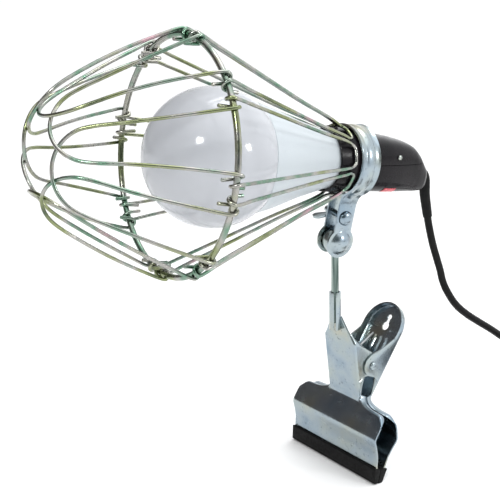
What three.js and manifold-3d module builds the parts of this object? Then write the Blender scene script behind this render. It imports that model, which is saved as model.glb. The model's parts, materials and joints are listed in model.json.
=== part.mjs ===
// Clip-on guarded lamp: spring clip, ball-jointed clamp, E26 socket, LED bulb, wire guard and cord.
// Millimetres, +Z up. The origin is the middle of the line where the clip's two jaws meet.
// The lamp looks along -Y, the jaws run along X.
import * as THREE from 'three';
import { mergeVertices } from 'three/addons/utils/BufferGeometryUtils.js';
import Module from 'manifold-3d';

const wasm = await Module();
wasm.setup();

const RAD = Math.PI / 180;
const GAP = 0.3; // clearance between neighbouring pieces

// ---------------------------------------------------------------- driving dimensions
const CLIP = {
  lean: 15, // the jaws' middle plane leans back from vertical, degrees
  sheet: 1.0,
  jawHalf: 40, // half the jaw length along X
  jawCorner: 9,
  lipStart: 1.8, // lower end of the steel lip, hidden in the rubber
  shoulder: { s: 28.5, t: 10.2 }, // outermost bend of the jaw
  waist: { s: 46, t: 3.9 }, // bend between jaw and handle
  flare: 21.3, // angle of each handle from the middle plane, degrees
  pivot: 70, // height of the pivot pin along the middle plane
  earRadius: 7,
  flangeDepth: 5,
  rearHalf: 16, // half width of the rear handle, outside its flanges
  frontHalf: 14.6, // the front plate nests inside the rear one
  rearTop: 107,
  taperStart: 83,
  taperEnd: 99,
};
const PAD = { height: 10, skin: 0.7 };
const PIN = { radius: 1.8, headRadius: 2.7, headHeight: 1.2 };
const SPRING = { wire: 0.8, radius: 4.4, turns: 5, pitch: 2.3, armLength: 17 };
const ROD = { radius: 2.45, bottom: 97.5 };
const SLEEVE = { radius: 3.7, bottom: 93, top: 118 };
const BALL = { radius: 8, height: 151.8, boreDepth: 5 };

const HEAD = { yaw: -4.5, tilt: 8.2, roll: 7.4, drop: 51.4 }; // drop: ball centre to lamp axis
const BAND = { inner: 19.9, outer: 21.1, rim: 22.4, width: 10.4, legGap: 4.6, legHalf: 6.2, cupDisc: 10, wall: 1.2 };
const BOLT = { height: -35.2, radius: 2, headRadius: 4.6, headHeight: 2.6, holeRadius: 2.4 };
const WINGNUT = { radius: 3.6, thickness: 4, reach: 11.5, wingThickness: 1.6 };

const SOCKET = { mouth: 21.8, mouthRadius: 18.9, bodyRadius: 19.5, back: 4.6, bore: 17.6, shellBore: 14.1, tail: 15 };
const SHELL = { inner: 13.3, outer: 13.8, front: 12, back: -7.5 };
const TERMINAL = { offset: 9, shank: 1.4, head: 2.6, headHeight: 1.6, length: 2.4 };
const BULB = {
  globeRadius: 39.1,
  globeCentre: 97.8,
  seam: 76,
  neckRadius: 17.2,
  neckEnd: 15,
  capRadius: 13,
  capEnd: -4.5,
  domeWall: 1.4,
  housingWall: 1.8,
  boardThickness: 1.6,
};
const COVER = { front: 4.9, wall: 1.5, split: 1.6 };
const COVER_SCREW = { y: 24, z: 6.4, seat: 15.75, head: 1.5, headHeight: 0.8, shank: 0.8, tip: 9 };
const CORE = { radius: 0.8, sides: 6 };
const RELIEF = { rootRadius: 4.1, tipRadius: 3.0, sides: 14 };

const GUARD = {
  ring: 121.8, // ring plane ahead of the clamp band
  ringRadius: 65,
  ringWire: 1.5,
  wire: 1.0,
  stations: 8,
  frontOffset: 8.6, // front hooks sit this far either side of a station, degrees
  rearOffset: 4.3,
  noseRadius: 19.7, // distance of each front loop's tip from the lamp axis
  noseDepth: 76.6, // tip of the front loops ahead of the ring
  uTurn: 22,
  bow: 2.9,
  weave: 3.2, // one side of every front loop passes outside its neighbour
  collarRadius: 20.8,
  collar: 13, // collar arcs ahead of the clamp band
  collarHalf: 18.4, // half the collar arc of one rear loop, degrees
  tail: 7,
};
const CORD = { radius: 2.5, sides: 8 };
const COIL = { x: 84, y: 168, inner: 19.6, outer: 40.6, bottom: 1.3, height: 10.6 };
const PLUG = { length: 30, width: 24, height: 13, neck: 9, blade: 17, bladeGap: 12.7 };

// ---------------------------------------------------------------- materials
const finish = (color, roughness, metalness) => new THREE.MeshStandardMaterial({ color, roughness, metalness });
const zinc = () => finish(0xb9c4c6, 0.3, 1.0);
const guardZinc = () => finish(0xa9a98f, 0.35, 1.0);
const blackPlastic = () => finish(0x121213, 0.35, 0.0);
const rubber = () => finish(0x0d0d0e, 0.8, 0.0);
const brass = () => finish(0xb59a52, 0.35, 1.0);
const ceramic = () => finish(0xe6e2d8, 0.6, 0.0);

// ---------------------------------------------------------------- solids and booleans
function toSolid(geometry) {
  const bare = geometry.index ? geometry.toNonIndexed() : geometry.clone();
  bare.deleteAttribute('normal');
  bare.deleteAttribute('uv');
  const merged = mergeVertices(bare, 1e-4);
  const vertProperties = Float32Array.from(merged.attributes.position.array);
  const triVerts = Uint32Array.from(merged.index.array);
  return new wasm.Manifold(new wasm.Mesh({ numProp: 3, vertProperties, triVerts }));
}

function toGeometry(solid) {
  const mesh = solid.getMesh();
  const geometry = new THREE.BufferGeometry();
  geometry.setAttribute('position', new THREE.BufferAttribute(Float32Array.from(mesh.vertProperties), 3));
  geometry.setIndex(new THREE.BufferAttribute(Uint32Array.from(mesh.triVerts), 1));
  return geometry;
}

function piece(name, geometry, material) {
  const mesh = new THREE.Mesh(geometry, material);
  mesh.name = name;
  return mesh;
}

// A profile of [radius, height] points turned about Z. It may run either way round.
function turned(profile, segments = 32) {
  const points = profile.map(([r, z]) => new THREE.Vector2(r, z));
  if (THREE.ShapeUtils.area(points) < 0) points.reverse();
  const geometry = new THREE.LatheGeometry(points, segments);
  geometry.rotateX(90 * RAD);
  return geometry;
}

// The same profile turned about the lamp axis: heights count forward, along -Y.
function turnedAlongLamp(profile, segments = 32) {
  const geometry = turned(profile, segments);
  geometry.rotateX(90 * RAD);
  return geometry;
}

const cylinderZ = (radius, z0, z1, segments = 24) =>
  turned([[0, z0], [radius, z0], [radius, z1], [0, z1]], segments);

function cylinderX(radius, x0, x1, y, z, segments = 24) {
  const geometry = cylinderZ(radius, x0, x1, segments);
  geometry.rotateY(90 * RAD);
  geometry.translate(0, y, z);
  return geometry;
}

function box(x0, x1, y0, y1, z0, z1) {
  const geometry = new THREE.BoxGeometry(x1 - x0, y1 - y0, z1 - z0);
  geometry.translate((x0 + x1) / 2, (y0 + y1) / 2, (z0 + z1) / 2);
  return geometry;
}

const ball = (radius, x, y, z, segments = 20) => {
  const geometry = new THREE.SphereGeometry(radius, segments, segments / 2);
  geometry.translate(x, y, z);
  return geometry;
};

// An outline of [y, z] points, extruded along X between x0 and x1.
function extrudeX(outline, x0, x1) {
  const shape = new THREE.Shape(outline.map(([y, z]) => new THREE.Vector2(y, z)));
  const geometry = new THREE.ExtrudeGeometry(shape, { depth: x1 - x0, bevelEnabled: false });
  geometry.applyMatrix4(new THREE.Matrix4().set(0, 0, 1, x0, 1, 0, 0, 0, 0, 1, 0, 0, 0, 0, 0, 1));
  return geometry;
}

// A shape drawn in X and Z, extruded along Y between y0 and y1.
function extrudeY(shape, y0, y1, curveSegments = 8) {
  const geometry = new THREE.ExtrudeGeometry(shape, { depth: y1 - y0, bevelEnabled: false, curveSegments });
  geometry.applyMatrix4(new THREE.Matrix4().set(1, 0, 0, 0, 0, 0, -1, y1, 0, 1, 0, 0, 0, 0, 0, 1));
  return geometry;
}

// A round bar along a smooth curve through a list of points, with a few steps between each two points.
function bar(points, radius, sides, stepsBetween) {
  const section = new THREE.Shape();
  for (let i = 0; i < sides; i += 1) {
    const a = (i / sides) * 2 * Math.PI;
    const [x, y] = [radius * Math.cos(a), radius * Math.sin(a)];
    if (i === 0) section.moveTo(x, y);
    else section.lineTo(x, y);
  }
  section.closePath();
  const curve = new THREE.CatmullRomCurve3(points.map((p) => new THREE.Vector3(...p)), false, 'centripetal');
  curve.getUtoTmapping = (u) => u; // step from point to point instead of by length
  const steps = (points.length - 1) * stepsBetween;
  return new THREE.ExtrudeGeometry(section, { steps, extrudePath: curve, bevelEnabled: false });
}

// ---------------------------------------------------------------- spring clip
// Clip coordinates: X along the jaws, Y = t (thickness, rear jaw positive), Z = s (up the middle plane).
const handleSlope = Math.tan(CLIP.flare * RAD);
const handleT = (s) => CLIP.waist.t + (s - CLIP.waist.s) * handleSlope;

// Centre line of one jaw plate from lip to waist, as [t, s].
const JAW_LINE = [
  [1.6, CLIP.lipStart],
  [4.9, 18],
  [7.4, 23.5],
  [CLIP.shoulder.t, CLIP.shoulder.s],
  [CLIP.waist.t, CLIP.waist.s],
];

// Offsets a centre line sideways by half a sheet on each side, giving a closed outline.
function sheetOutline(line, thickness) {
  const left = [];
  const right = [];
  line.forEach(([t, s], i) => {
    const [t0, s0] = line[Math.max(i - 1, 0)];
    const [t1, s1] = line[Math.min(i + 1, line.length - 1)];
    const length = Math.hypot(t1 - t0, s1 - s0);
    const [nt, ns] = [(s1 - s0) / length, -(t1 - t0) / length];
    left.push([t + (nt * thickness) / 2, s + (ns * thickness) / 2]);
    right.unshift([t - (nt * thickness) / 2, s - (ns * thickness) / 2]);
  });
  return [...left, ...right];
}

// Front view of a jaw: straight ends, rounded top corners.
function jawFront() {
  const shape = new THREE.Shape();
  const { jawHalf: w, jawCorner: r } = CLIP;
  const top = CLIP.waist.s - 2;
  shape.moveTo(-w, 0);
  shape.lineTo(w, 0);
  shape.lineTo(w, top - r);
  shape.absarc(w - r, top - r, r, 0, 90 * RAD, false);
  shape.lineTo(CLIP.frontHalf, top);
  shape.lineTo(CLIP.frontHalf, CLIP.waist.s + 1);
  shape.lineTo(-CLIP.frontHalf, CLIP.waist.s + 1);
  shape.lineTo(-CLIP.frontHalf, top);
  shape.lineTo(-(w - r), top);
  shape.absarc(-(w - r), top - r, r, 90 * RAD, 180 * RAD, false);
  shape.closePath();
  return shape;
}

// Front view of the rear handle: parallel sides and a round top.
function rearHandleFront(half) {
  const shape = new THREE.Shape();
  const centre = CLIP.rearTop - CLIP.rearHalf;
  shape.moveTo(-half, CLIP.waist.s - 1.5);
  shape.lineTo(half, CLIP.waist.s - 1.5);
  shape.lineTo(half, centre);
  shape.absarc(0, centre, half, 0, 180 * RAD, false);
  shape.closePath();
  return shape;
}

// Front view of the front plate: parallel sides, then a taper up to the neck.
function frontPlateFront(half, neck) {
  const shape = new THREE.Shape();
  shape.moveTo(-half, CLIP.waist.s - 1.5);
  shape.lineTo(half, CLIP.waist.s - 1.5);
  shape.lineTo(half, CLIP.taperStart);
  shape.lineTo(neck, CLIP.taperEnd);
  shape.lineTo(-neck, CLIP.taperEnd);
  shape.lineTo(-half, CLIP.taperStart);
  shape.closePath();
  return shape;
}

// Side view of the channel: the handle face with flanges that swell into an ear round the pivot.
function channelSide(top) {
  const outer = (s) => handleT(s) + CLIP.sheet / 2;
  const { pivot, earRadius: r, flangeDepth: d, waist } = CLIP;
  const outline = [
    [outer(waist.s - 1.5), waist.s - 1.5],
    [outer(top + 2), top + 2],
    [outer(top + 2) - d, top + 2],
    [outer(pivot + 18) - d, pivot + 18],
  ];
  for (let a = 60; a >= -120; a -= 20) outline.push([-r * Math.cos(a * RAD), pivot + r * Math.sin(a * RAD)]);
  outline.push([outer(waist.s + 2) - CLIP.sheet, waist.s + 2]);
  outline.push([outer(waist.s - 1.5) - CLIP.sheet, waist.s - 1.5]);
  return outline;
}

// Everything on the inner side of a handle face.
function insideOfFace(top) {
  const inner = (s) => handleT(s) - CLIP.sheet / 2;
  const low = CLIP.waist.s + 1.5;
  return [[inner(low), low], [inner(top + 4), top + 4], [-60, top + 4], [-60, low]];
}

function plateSolid(frontShape, insetShape, top, width) {
  const jaw = toSolid(extrudeX(sheetOutline(JAW_LINE, CLIP.sheet), -CLIP.jawHalf - 5, CLIP.jawHalf + 5));
  const jawCut = jaw.intersect(toSolid(extrudeY(jawFront(), -5, 60)));
  const channel = toSolid(extrudeX(channelSide(top), -width, width));
  const trimmed = channel.intersect(toSolid(extrudeY(frontShape, -70, 70)));
  const hollow = toSolid(extrudeX(insideOfFace(top), -width, width));
  const pocket = hollow.intersect(toSolid(extrudeY(insetShape, -70, 70)));
  const pinHole = toSolid(cylinderX(PIN.radius + GAP, -40, 40, 0, CLIP.pivot));
  return jawCut.add(trimmed.subtract(pocket)).subtract(pinHole);
}

function rearPlate() {
  const half = CLIP.rearHalf;
  const solid = plateSolid(rearHandleFront(half), rearHandleFront(half - CLIP.sheet), CLIP.rearTop, half);
  const bigHole = new THREE.Shape().absarc(0, 92.5, 2.7, 0, 360 * RAD, false);
  const smallHole = new THREE.Shape().absarc(0, 98.5, 1.8, 0, 360 * RAD, false);
  const neck = new THREE.Shape().setFromPoints([[-1.5, 92.5], [1.5, 92.5], [1.5, 98.5], [-1.5, 98.5]]
    .map(([x, z]) => new THREE.Vector2(x, z)));
  let keyed = solid;
  for (const shape of [bigHole, smallHole, neck]) keyed = keyed.subtract(toSolid(extrudeY(shape, 10, 60)));
  return toGeometry(keyed);
}

// The front plate is the rear plate's mirror image, narrower, and ends in a sleeve rolled round the rod.
function frontPlate(clipToWorld) {
  const half = CLIP.frontHalf;
  const plate = plateSolid(
    frontPlateFront(half, SLEEVE.radius),
    frontPlateFront(half - CLIP.sheet, SLEEVE.radius - CLIP.sheet),
    CLIP.taperEnd,
    half,
  );
  const mirrored = plate.mirror([0, 1, 0]);
  const worldToClip = clipToWorld.clone().invert();
  const place = (geometry) => toSolid(geometry.applyMatrix4(worldToClip));
  const sleeve = place(cylinderZ(SLEEVE.radius, SLEEVE.bottom, SLEEVE.top));
  const bore = place(cylinderZ(ROD.radius + GAP, ROD.bottom - GAP, SLEEVE.top + 5));
  const seam = box(0, 10, -0.4, 0.4, ROD.bottom + 1, SLEEVE.top + 5);
  seam.rotateZ(-42 * RAD);
  return toGeometry(mirrored.add(sleeve).subtract(bore).subtract(place(seam)));
}

// Rubber strip folded over a steel lip, in clip coordinates, for the rear jaw.
function padGeometry() {
  const lipT = (s) => 1.6 + ((s - CLIP.lipStart) * (4.9 - 1.6)) / (18 - CLIP.lipStart);
  const half = CLIP.sheet / 2 + 0.25;
  const top = PAD.height;
  const inside = GAP / 2;
  const outline = [
    [inside, 0],
    [lipT(0) + half + PAD.skin, 0],
    [lipT(top) + half + PAD.skin, top],
    [lipT(top) + half, top],
    [lipT(CLIP.lipStart) + half, CLIP.lipStart - 0.6],
    [lipT(CLIP.lipStart) - half, CLIP.lipStart - 0.6],
    [lipT(top) - half, top],
    [inside, top],
  ];
  return extrudeX(outline, -CLIP.jawHalf - 0.4, CLIP.jawHalf + 0.4);
}

function pivotPin() {
  const x = CLIP.rearHalf + GAP;
  const { radius: r, headRadius: h, headHeight: k } = PIN;
  const profile = [
    [0, -x - k], [h * 0.6, -x - k], [h, -x - k * 0.4], [h, -x], [r, -x],
    [r, x], [h, x], [h, x + k * 0.4], [h * 0.6, x + k], [0, x + k],
  ];
  const geometry = turned(profile, 20);
  geometry.rotateY(90 * RAD);
  geometry.translate(0, 0, CLIP.pivot);
  return geometry;
}

// Torsion spring round the pin, with an arm pressing on each handle.
function torsionSpring() {
  const { radius: r, turns, pitch, armLength } = SPRING;
  const arm = (sign) => {
    const a = 90 * RAD - sign * 14 * RAD;
    return [Math.cos(a), Math.sin(a)];
  };
  const points = [];
  const start = -(turns * pitch) / 2;
  const total = turns + 0.5;
  const [ay, az] = arm(1);
  points.push([start, r + ay * armLength, CLIP.pivot + az * armLength]);
  points.push([start, r + ay * armLength * 0.4, CLIP.pivot + az * armLength * 0.4]);
  for (let i = 0; i <= total * 10; i += 1) {
    const a = (i / 10) * 360 * RAD;
    points.push([start + (i / 10) * pitch, r * Math.cos(a), CLIP.pivot - r * Math.sin(a)]);
  }
  const end = start + total * pitch;
  points.push([end, -r - ay * armLength * 0.4, CLIP.pivot + az * armLength * 0.4]);
  points.push([end, -r - ay * armLength, CLIP.pivot + az * armLength]);
  return bar(points, SPRING.wire, 6, 1);
}

function buildClip() {
  const clip = new THREE.Group();
  clip.rotation.x = -CLIP.lean * RAD;
  clip.updateMatrix();
  const frontPad = padGeometry();
  frontPad.rotateZ(180 * RAD);
  clip.add(piece('clip_front_jaw', frontPlate(clip.matrix), zinc()));
  clip.add(piece('clip_rear_jaw', rearPlate(), zinc()));
  clip.add(piece('front_jaw_pad', frontPad, rubber()));
  clip.add(piece('rear_jaw_pad', padGeometry(), rubber()));
  clip.add(piece('pivot_pin', pivotPin(), zinc()));
  clip.add(piece('clip_spring', torsionSpring(), zinc()));
  return clip;
}

// ---------------------------------------------------------------- rod and ball
function buildStem() {
  const stem = new THREE.Group();
  const boreTop = BALL.height - BALL.radius + BALL.boreDepth;
  const rod = cylinderZ(ROD.radius, ROD.bottom, boreTop - GAP);
  const bore = cylinderZ(ROD.radius + GAP, BALL.height - BALL.radius - 5, boreTop);
  const sphere = toSolid(ball(BALL.radius, 0, 0, BALL.height));
  stem.add(piece('stem_rod', rod, zinc()));
  stem.add(piece('swivel_ball', toGeometry(sphere.subtract(toSolid(bore))), zinc()));
  return stem;
}

// ---------------------------------------------------------------- clamp band (lamp head coordinates)
// Head coordinates: origin on the lamp axis at the clamp band, lamp forward along -Y, +Z up, +X near side.
function clampBand() {
  const { inner, outer, rim, width, legGap, legHalf, cupDisc, wall } = BAND;
  const w = width / 2;
  const ring = toSolid(turnedAlongLamp([
    [inner, -w], [outer, -w], [outer + 0.5, 0], [outer, w - 1.6], [rim, w - 0.8], [rim, w], [inner, w], [inner, -w],
  ], 40));
  const slot = toSolid(box(-legGap, legGap, -20, 20, -60, 0));
  const ballZ = -HEAD.drop;
  let legs = null;
  for (const side of [-1, 1]) {
    const [x0, x1] = side > 0 ? [legGap, legGap + wall] : [-legGap - wall, -legGap];
    const keep = side > 0 ? box(legGap, 30, -30, 30, -80, 0) : box(-30, -legGap, -30, 30, -80, 0);
    const leg = toSolid(box(x0, x1, -legHalf, legHalf, ballZ, -inner + 1.2));
    const disc = toSolid(cylinderX(cupDisc, x0, x1, 0, ballZ));
    const dish = toSolid(ball(BALL.radius + GAP + wall, 0, 0, ballZ)).intersect(toSolid(keep));
    const half = leg.add(disc).add(dish);
    legs = legs ? legs.add(half) : half;
  }
  const hollow = toSolid(ball(BALL.radius + GAP, 0, 0, ballZ));
  const boltHole = toSolid(cylinderX(BOLT.holeRadius, -20, 20, 0, BOLT.height, 16));
  const bodyClear = toSolid(turnedAlongLamp([[0, -20], [inner, -20], [inner, 20], [0, 20]], 40));
  return toGeometry(ring.subtract(slot).add(legs).subtract(hollow).subtract(boltHole).subtract(bodyClear));
}

function clampBolt() {
  const face = BAND.legGap + BAND.wall + GAP;
  const { radius: r, headRadius: h, headHeight: k } = BOLT;
  const end = face + WINGNUT.thickness + 4;
  const geometry = turned([
    [0, -end], [r, -end], [r, face], [h, face], [h * 0.86, face + k * 0.6], [h * 0.5, face + k * 0.93], [0, face + k],
  ], 24);
  geometry.rotateY(90 * RAD);
  geometry.translate(0, 0, BOLT.height);
  return geometry;
}

function wingNut() {
  const face = -(BAND.legGap + BAND.wall + GAP);
  const { radius: r, thickness: k, reach, wingThickness: w } = WINGNUT;
  const hub = toSolid(cylinderX(r, face - k, face, 0, BOLT.height, 20));
  const outline = [
    [1, face - 0.6], [1, face - k], [3.4, face - k], [reach - 4.6, face - 7.6], [reach - 3, face - 9],
    [reach - 0.8, face - 8.6], [reach, face - 6.6], [reach - 1.4, face - 3.4], [reach - 5, face - 1.2],
  ];
  const wing = new THREE.Shape(outline.map(([r, x]) => new THREE.Vector2(r, x)));
  const blade = new THREE.ExtrudeGeometry(wing, { depth: w, bevelEnabled: false, curveSegments: 6 });
  blade.translate(0, 0, -w / 2);
  const wings = [0, 180].map((turn) => {
    const copy = blade.clone();
    copy.applyMatrix4(new THREE.Matrix4().set(0, 1, 0, 0, 1, 0, 0, 0, 0, 0, -1, 0, 0, 0, 0, 1));
    copy.rotateX((turn + 28) * RAD);
    copy.translate(0, 0, BOLT.height);
    return toSolid(copy);
  });
  const hole = toSolid(cylinderX(BOLT.radius + GAP, -30, 0, 0, BOLT.height, 20));
  return toGeometry(hub.add(wings[0]).add(wings[1]).subtract(hole));
}

// ---------------------------------------------------------------- socket
const socketFloor = SHELL.back - 1; // inner face of the socket's back wall
const socketEnd = socketFloor - 2.6;

function socketBody() {
  const { mouth, mouthRadius, bodyRadius, back, bore, shellBore, tail } = SOCKET;
  const profile = [
    [bore, mouth], [mouthRadius, mouth], [bodyRadius, 11], [bodyRadius, -back], [tail, -back],
    [tail, socketEnd], [3.2, socketEnd], [3.2, socketFloor], [shellBore, socketFloor],
    [shellBore, 12.4], [bore, 13.4], [bore, mouth],
  ];
  let solid = toSolid(turnedAlongLamp(profile, 40));
  for (const side of [-1, 1]) {
    const hole = turnedAlongLamp([[0, -30], [TERMINAL.shank + GAP, -30], [TERMINAL.shank + GAP, 0], [0, 0]], 14);
    hole.translate(side * TERMINAL.offset, 0, 0);
    solid = solid.subtract(toSolid(hole));
  }
  return toGeometry(solid);
}

const threadedShell = () => turnedAlongLamp([
  [SHELL.inner, SHELL.back], [SHELL.outer, SHELL.back], [SHELL.outer, SHELL.front],
  [SHELL.inner, SHELL.front], [SHELL.inner, SHELL.back],
], 32);

// Spring tab that presses on the tip of the bulb's cap.
function centreContact() {
  const tip = BULB.capEnd - 1.4 - GAP;
  const plate = SHELL.back - 0.6;
  return turnedAlongLamp([[0, plate], [2.6, plate], [2.6, tip - 0.7], [1.6, tip], [0, tip]], 16);
}

function insulatorDisc() {
  const z = SHELL.back - 0.3;
  const rim = SOCKET.shellBore - GAP;
  return turnedAlongLamp([[3, z - 0.5], [rim, z - 0.5], [rim, z], [3, z], [3, z - 0.5]], 32);
}

// A screw whose head rests on the back of the socket, with its shank in the back wall.
function terminalScrew(side) {
  const { offset, shank, head, headHeight, length } = TERMINAL;
  const seat = socketEnd - GAP;
  const geometry = turnedAlongLamp([
    [0, seat - headHeight], [head * 0.8, seat - headHeight], [head, seat - headHeight * 0.6], [head, seat],
    [shank, seat], [shank, seat + length], [0, seat + length],
  ], 14);
  geometry.translate(side * offset, 0, 0);
  return geometry;
}

// ---------------------------------------------------------------- rear cover
// Sections along the lamp axis behind the band: y, half width, top and bottom height.
const COVER_SECTIONS = [
  [COVER.front, 17.4, 17.2, -18],
  [18.6, 16.6, 15.9, -18.2],
  [29, 15.3, 14.5, -18.4],
  [37, 13.9, 12.9, -18.5],
  [43, 12.8, 10.7, -18.5],
  [47.5, 11.9, 7.4, -18.5],
  [51, 11, 3.6, -18.4],
  [54, 10, 0.2, -18.1],
  [56, 8.8, -1.4, -17.4],
];

// A closed skin through rounded-rectangle sections, each shrunk by inset.
function coverLoft(inset) {
  const around = 24;
  const power = 2 / 2.8;
  const positions = [];
  const indices = [];
  const last = COVER_SECTIONS.length - 1;
  COVER_SECTIONS.forEach(([y, half, top, bottom], i) => {
    const shift = i === last ? -inset : 0;
    const [w, h, mid] = [half - inset, (top - bottom) / 2 - inset, (top + bottom) / 2];
    for (let k = 0; k < around; k += 1) {
      const a = (k / around) * 2 * Math.PI;
      const [c, s] = [Math.cos(a), Math.sin(a)];
      const x = w * Math.sign(c) * Math.abs(c) ** power;
      const z = mid + h * Math.sign(s) * Math.abs(s) ** power;
      positions.push(x, y + shift - (i === 0 ? inset * 2 : 0), z);
    }
  });
  for (let i = 0; i < last; i += 1) {
    for (let k = 0; k < around; k += 1) {
      const [a, b] = [i * around + k, i * around + ((k + 1) % around)];
      indices.push(a, a + around, b, b, a + around, b + around);
    }
  }
  for (const [row, flip] of [[0, false], [last, true]]) {
    for (let k = 1; k < around - 1; k += 1) {
      const tri = [row * around, row * around + k, row * around + k + 1];
      indices.push(...(flip ? tri.reverse() : tri));
    }
  }
  const geometry = new THREE.BufferGeometry();
  geometry.setAttribute('position', new THREE.Float32BufferAttribute(positions, 3));
  geometry.setIndex(indices);
  return geometry;
}

// Middle line of the strain relief, from inside the cover to its tip on the cord: back, then down.
const RELIEF_LINE = [
  [0, 51, -6.6], [0, 56.4, -6.9], [0, 60, -8.2], [0, 62.6, -11.2], [0, 64.3, -15.5], [0, 66.4, -22], [0, 70, -30],
  [0, 73, -36.4],
];

// A round bar along a line in the plane X = 0 that tapers from its first point to its last.
function taperedBar(line, startRadius, endRadius, sides) {
  const curve = new THREE.CatmullRomCurve3(line.map((p) => new THREE.Vector3(...p)), false, 'centripetal');
  const steps = (line.length - 1) * 2;
  const across = new THREE.Vector3(1, 0, 0);
  const positions = [];
  const indices = [];
  for (let i = 0; i <= steps; i += 1) {
    const centre = curve.getPoint(i / steps);
    const normal = curve.getTangent(i / steps).cross(across).normalize();
    const radius = startRadius + ((endRadius - startRadius) * i) / steps;
    for (let k = 0; k < sides; k += 1) {
      const a = (k / sides) * 2 * Math.PI;
      const offset = across.clone().multiplyScalar(radius * Math.cos(a)).addScaledVector(normal, radius * Math.sin(a));
      positions.push(...centre.clone().add(offset).toArray());
    }
  }
  for (let i = 0; i < steps; i += 1) {
    for (let k = 0; k < sides; k += 1) {
      const [a, b] = [i * sides + k, i * sides + ((k + 1) % sides)];
      indices.push(a, b, a + sides, b, b + sides, a + sides);
    }
  }
  for (let k = 1; k < sides - 1; k += 1) {
    indices.push(0, k + 1, k);
    indices.push(steps * sides, steps * sides + k, steps * sides + k + 1);
  }
  const geometry = new THREE.BufferGeometry();
  geometry.setAttribute('position', new THREE.Float32BufferAttribute(positions, 3));
  geometry.setIndex(indices);
  return geometry;
}

function coverHalf(upper) {
  const outer = toSolid(coverLoft(0));
  const inner = toSolid(coverLoft(COVER.wall));
  const shell = outer.subtract(inner);
  const split = COVER.split;
  const keep = upper ? box(-30, 30, 0, 90, split + GAP / 2, 40) : box(-30, 30, 0, 90, -40, split - GAP / 2);
  const exit = toSolid(taperedBar(RELIEF_LINE, RELIEF.rootRadius + GAP, RELIEF.tipRadius + GAP, RELIEF.sides));
  const half = shell.intersect(toSolid(keep));
  const screwHole = toSolid(cylinderX(COVER_SCREW.shank + GAP, 5, 20, COVER_SCREW.y, COVER_SCREW.z, 16));
  return toGeometry(half.subtract(exit).subtract(screwHole));
}

// Screw through the side of the upper cover, its head on the +X side.
function coverScrew() {
  const { y, z, seat, head, headHeight, shank, tip } = COVER_SCREW;
  const geometry = turned([
    [0, tip], [shank, tip + 1], [shank, seat], [head, seat], [head, seat + headHeight * 0.5],
    [head * 0.7, seat + headHeight], [0, seat + headHeight],
  ], 16);
  geometry.rotateY(90 * RAD);
  geometry.translate(0, y, z);
  return geometry;
}

// Insulated core of the cord, from the strain relief to one terminal screw.
function coreWire(side) {
  const { offset } = TERMINAL;
  const route = [
    [offset, 14.4, 0], [offset, 18, -1], [7.4, 26, -4], [4.4, 36, -6.2], [2.2, 44, -6.6], [1.6, 50.4, -6.6],
  ];
  return bar(route.map(([x, y, z]) => [side * x, y, z]), CORE.radius, CORE.sides, 2);
}

const strainRelief = () => taperedBar(RELIEF_LINE, RELIEF.rootRadius, RELIEF.tipRadius, RELIEF.sides);

// ---------------------------------------------------------------- bulb
const seamRadius = Math.sqrt(BULB.globeRadius ** 2 - (BULB.seam - BULB.globeCentre) ** 2);

// Arc of the globe from the seam to the front, for the outer or the inner wall.
function globeArc(radius, steps) {
  const { globeCentre: c, seam } = BULB;
  const start = Math.asin((seam + GAP - c) / radius);
  const points = [];
  for (let i = 0; i <= steps; i += 1) {
    const a = start + ((90 * RAD - start) * i) / steps;
    points.push([i === steps ? 0 : radius * Math.cos(a), c + radius * Math.sin(a)]);
  }
  return points;
}

const bulbGlobe = () => turnedAlongLamp([
  ...globeArc(BULB.globeRadius, 11).reverse(),
  ...globeArc(BULB.globeRadius - BULB.domeWall, 7),
], 36);

function bulbHousing() {
  const { seam, neckRadius, neckEnd, housingWall: wall } = BULB;
  const profile = [
    [0, neckEnd], [neckRadius - 1.2, neckEnd], [neckRadius, neckEnd + 2], [neckRadius + 0.1, SOCKET.mouth + 1],
    [22.5, 42], [28.2, 60], [seamRadius - 1.4, seam - 5], [seamRadius, seam],
    [seamRadius - wall, seam], [28.2 - wall, 60], [22.5 - wall, 42],
    [neckRadius - wall, SOCKET.mouth + 1], [neckRadius - wall, neckEnd + wall], [0, neckEnd + wall],
  ];
  return turnedAlongLamp(profile, 36);
}

// Round board with the light chips, across the mouth of the housing.
function ledBoard() {
  const { seam, boardThickness: thickness, housingWall: wall } = BULB;
  const rim = seamRadius - wall - 1.6;
  const board = toSolid(turnedAlongLamp([[0, seam - thickness], [rim, seam - thickness], [rim, seam], [0, seam]], 32));
  let solid = board;
  for (let k = 0; k < 10; k += 1) {
    const chip = box(-1.6, 1.6, -seam - 0.8, -seam + 0.2, 17, 20.2);
    chip.rotateY(k * 36 * RAD);
    solid = solid.add(toSolid(chip));
  }
  return toGeometry(solid);
}

// Driver circuit: board, transformer and capacitor, standing in the housing.
function driverBoard() {
  const board = toSolid(box(-11, 11, -68, -20, -0.8, 0.8));
  const transformer = toSolid(box(-6, 6, -62, -50, 0.5, 10));
  const capacitor = toSolid(turnedAlongLamp([[0, 28], [4, 28], [4, 44], [0, 44]], 16).translate(0, 0, 4.5));
  return toGeometry(board.add(transformer).add(capacitor));
}

const bulbCap = () => turnedAlongLamp([
  [0, BULB.capEnd], [9, BULB.capEnd], [BULB.capRadius, BULB.capEnd + 3],
  [BULB.capRadius, BULB.neckEnd - GAP], [0, BULB.neckEnd - GAP],
], 32);

const bulbTip = () => turnedAlongLamp([
  [0, BULB.capEnd - 1.4], [2.4, BULB.capEnd - 1.4], [4, BULB.capEnd - GAP], [0, BULB.capEnd - GAP],
], 16);

// ---------------------------------------------------------------- wire guard
const polar = (radius, degrees, forward) =>
  [radius * Math.sin(degrees * RAD), -forward, radius * Math.cos(degrees * RAD)];

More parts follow.
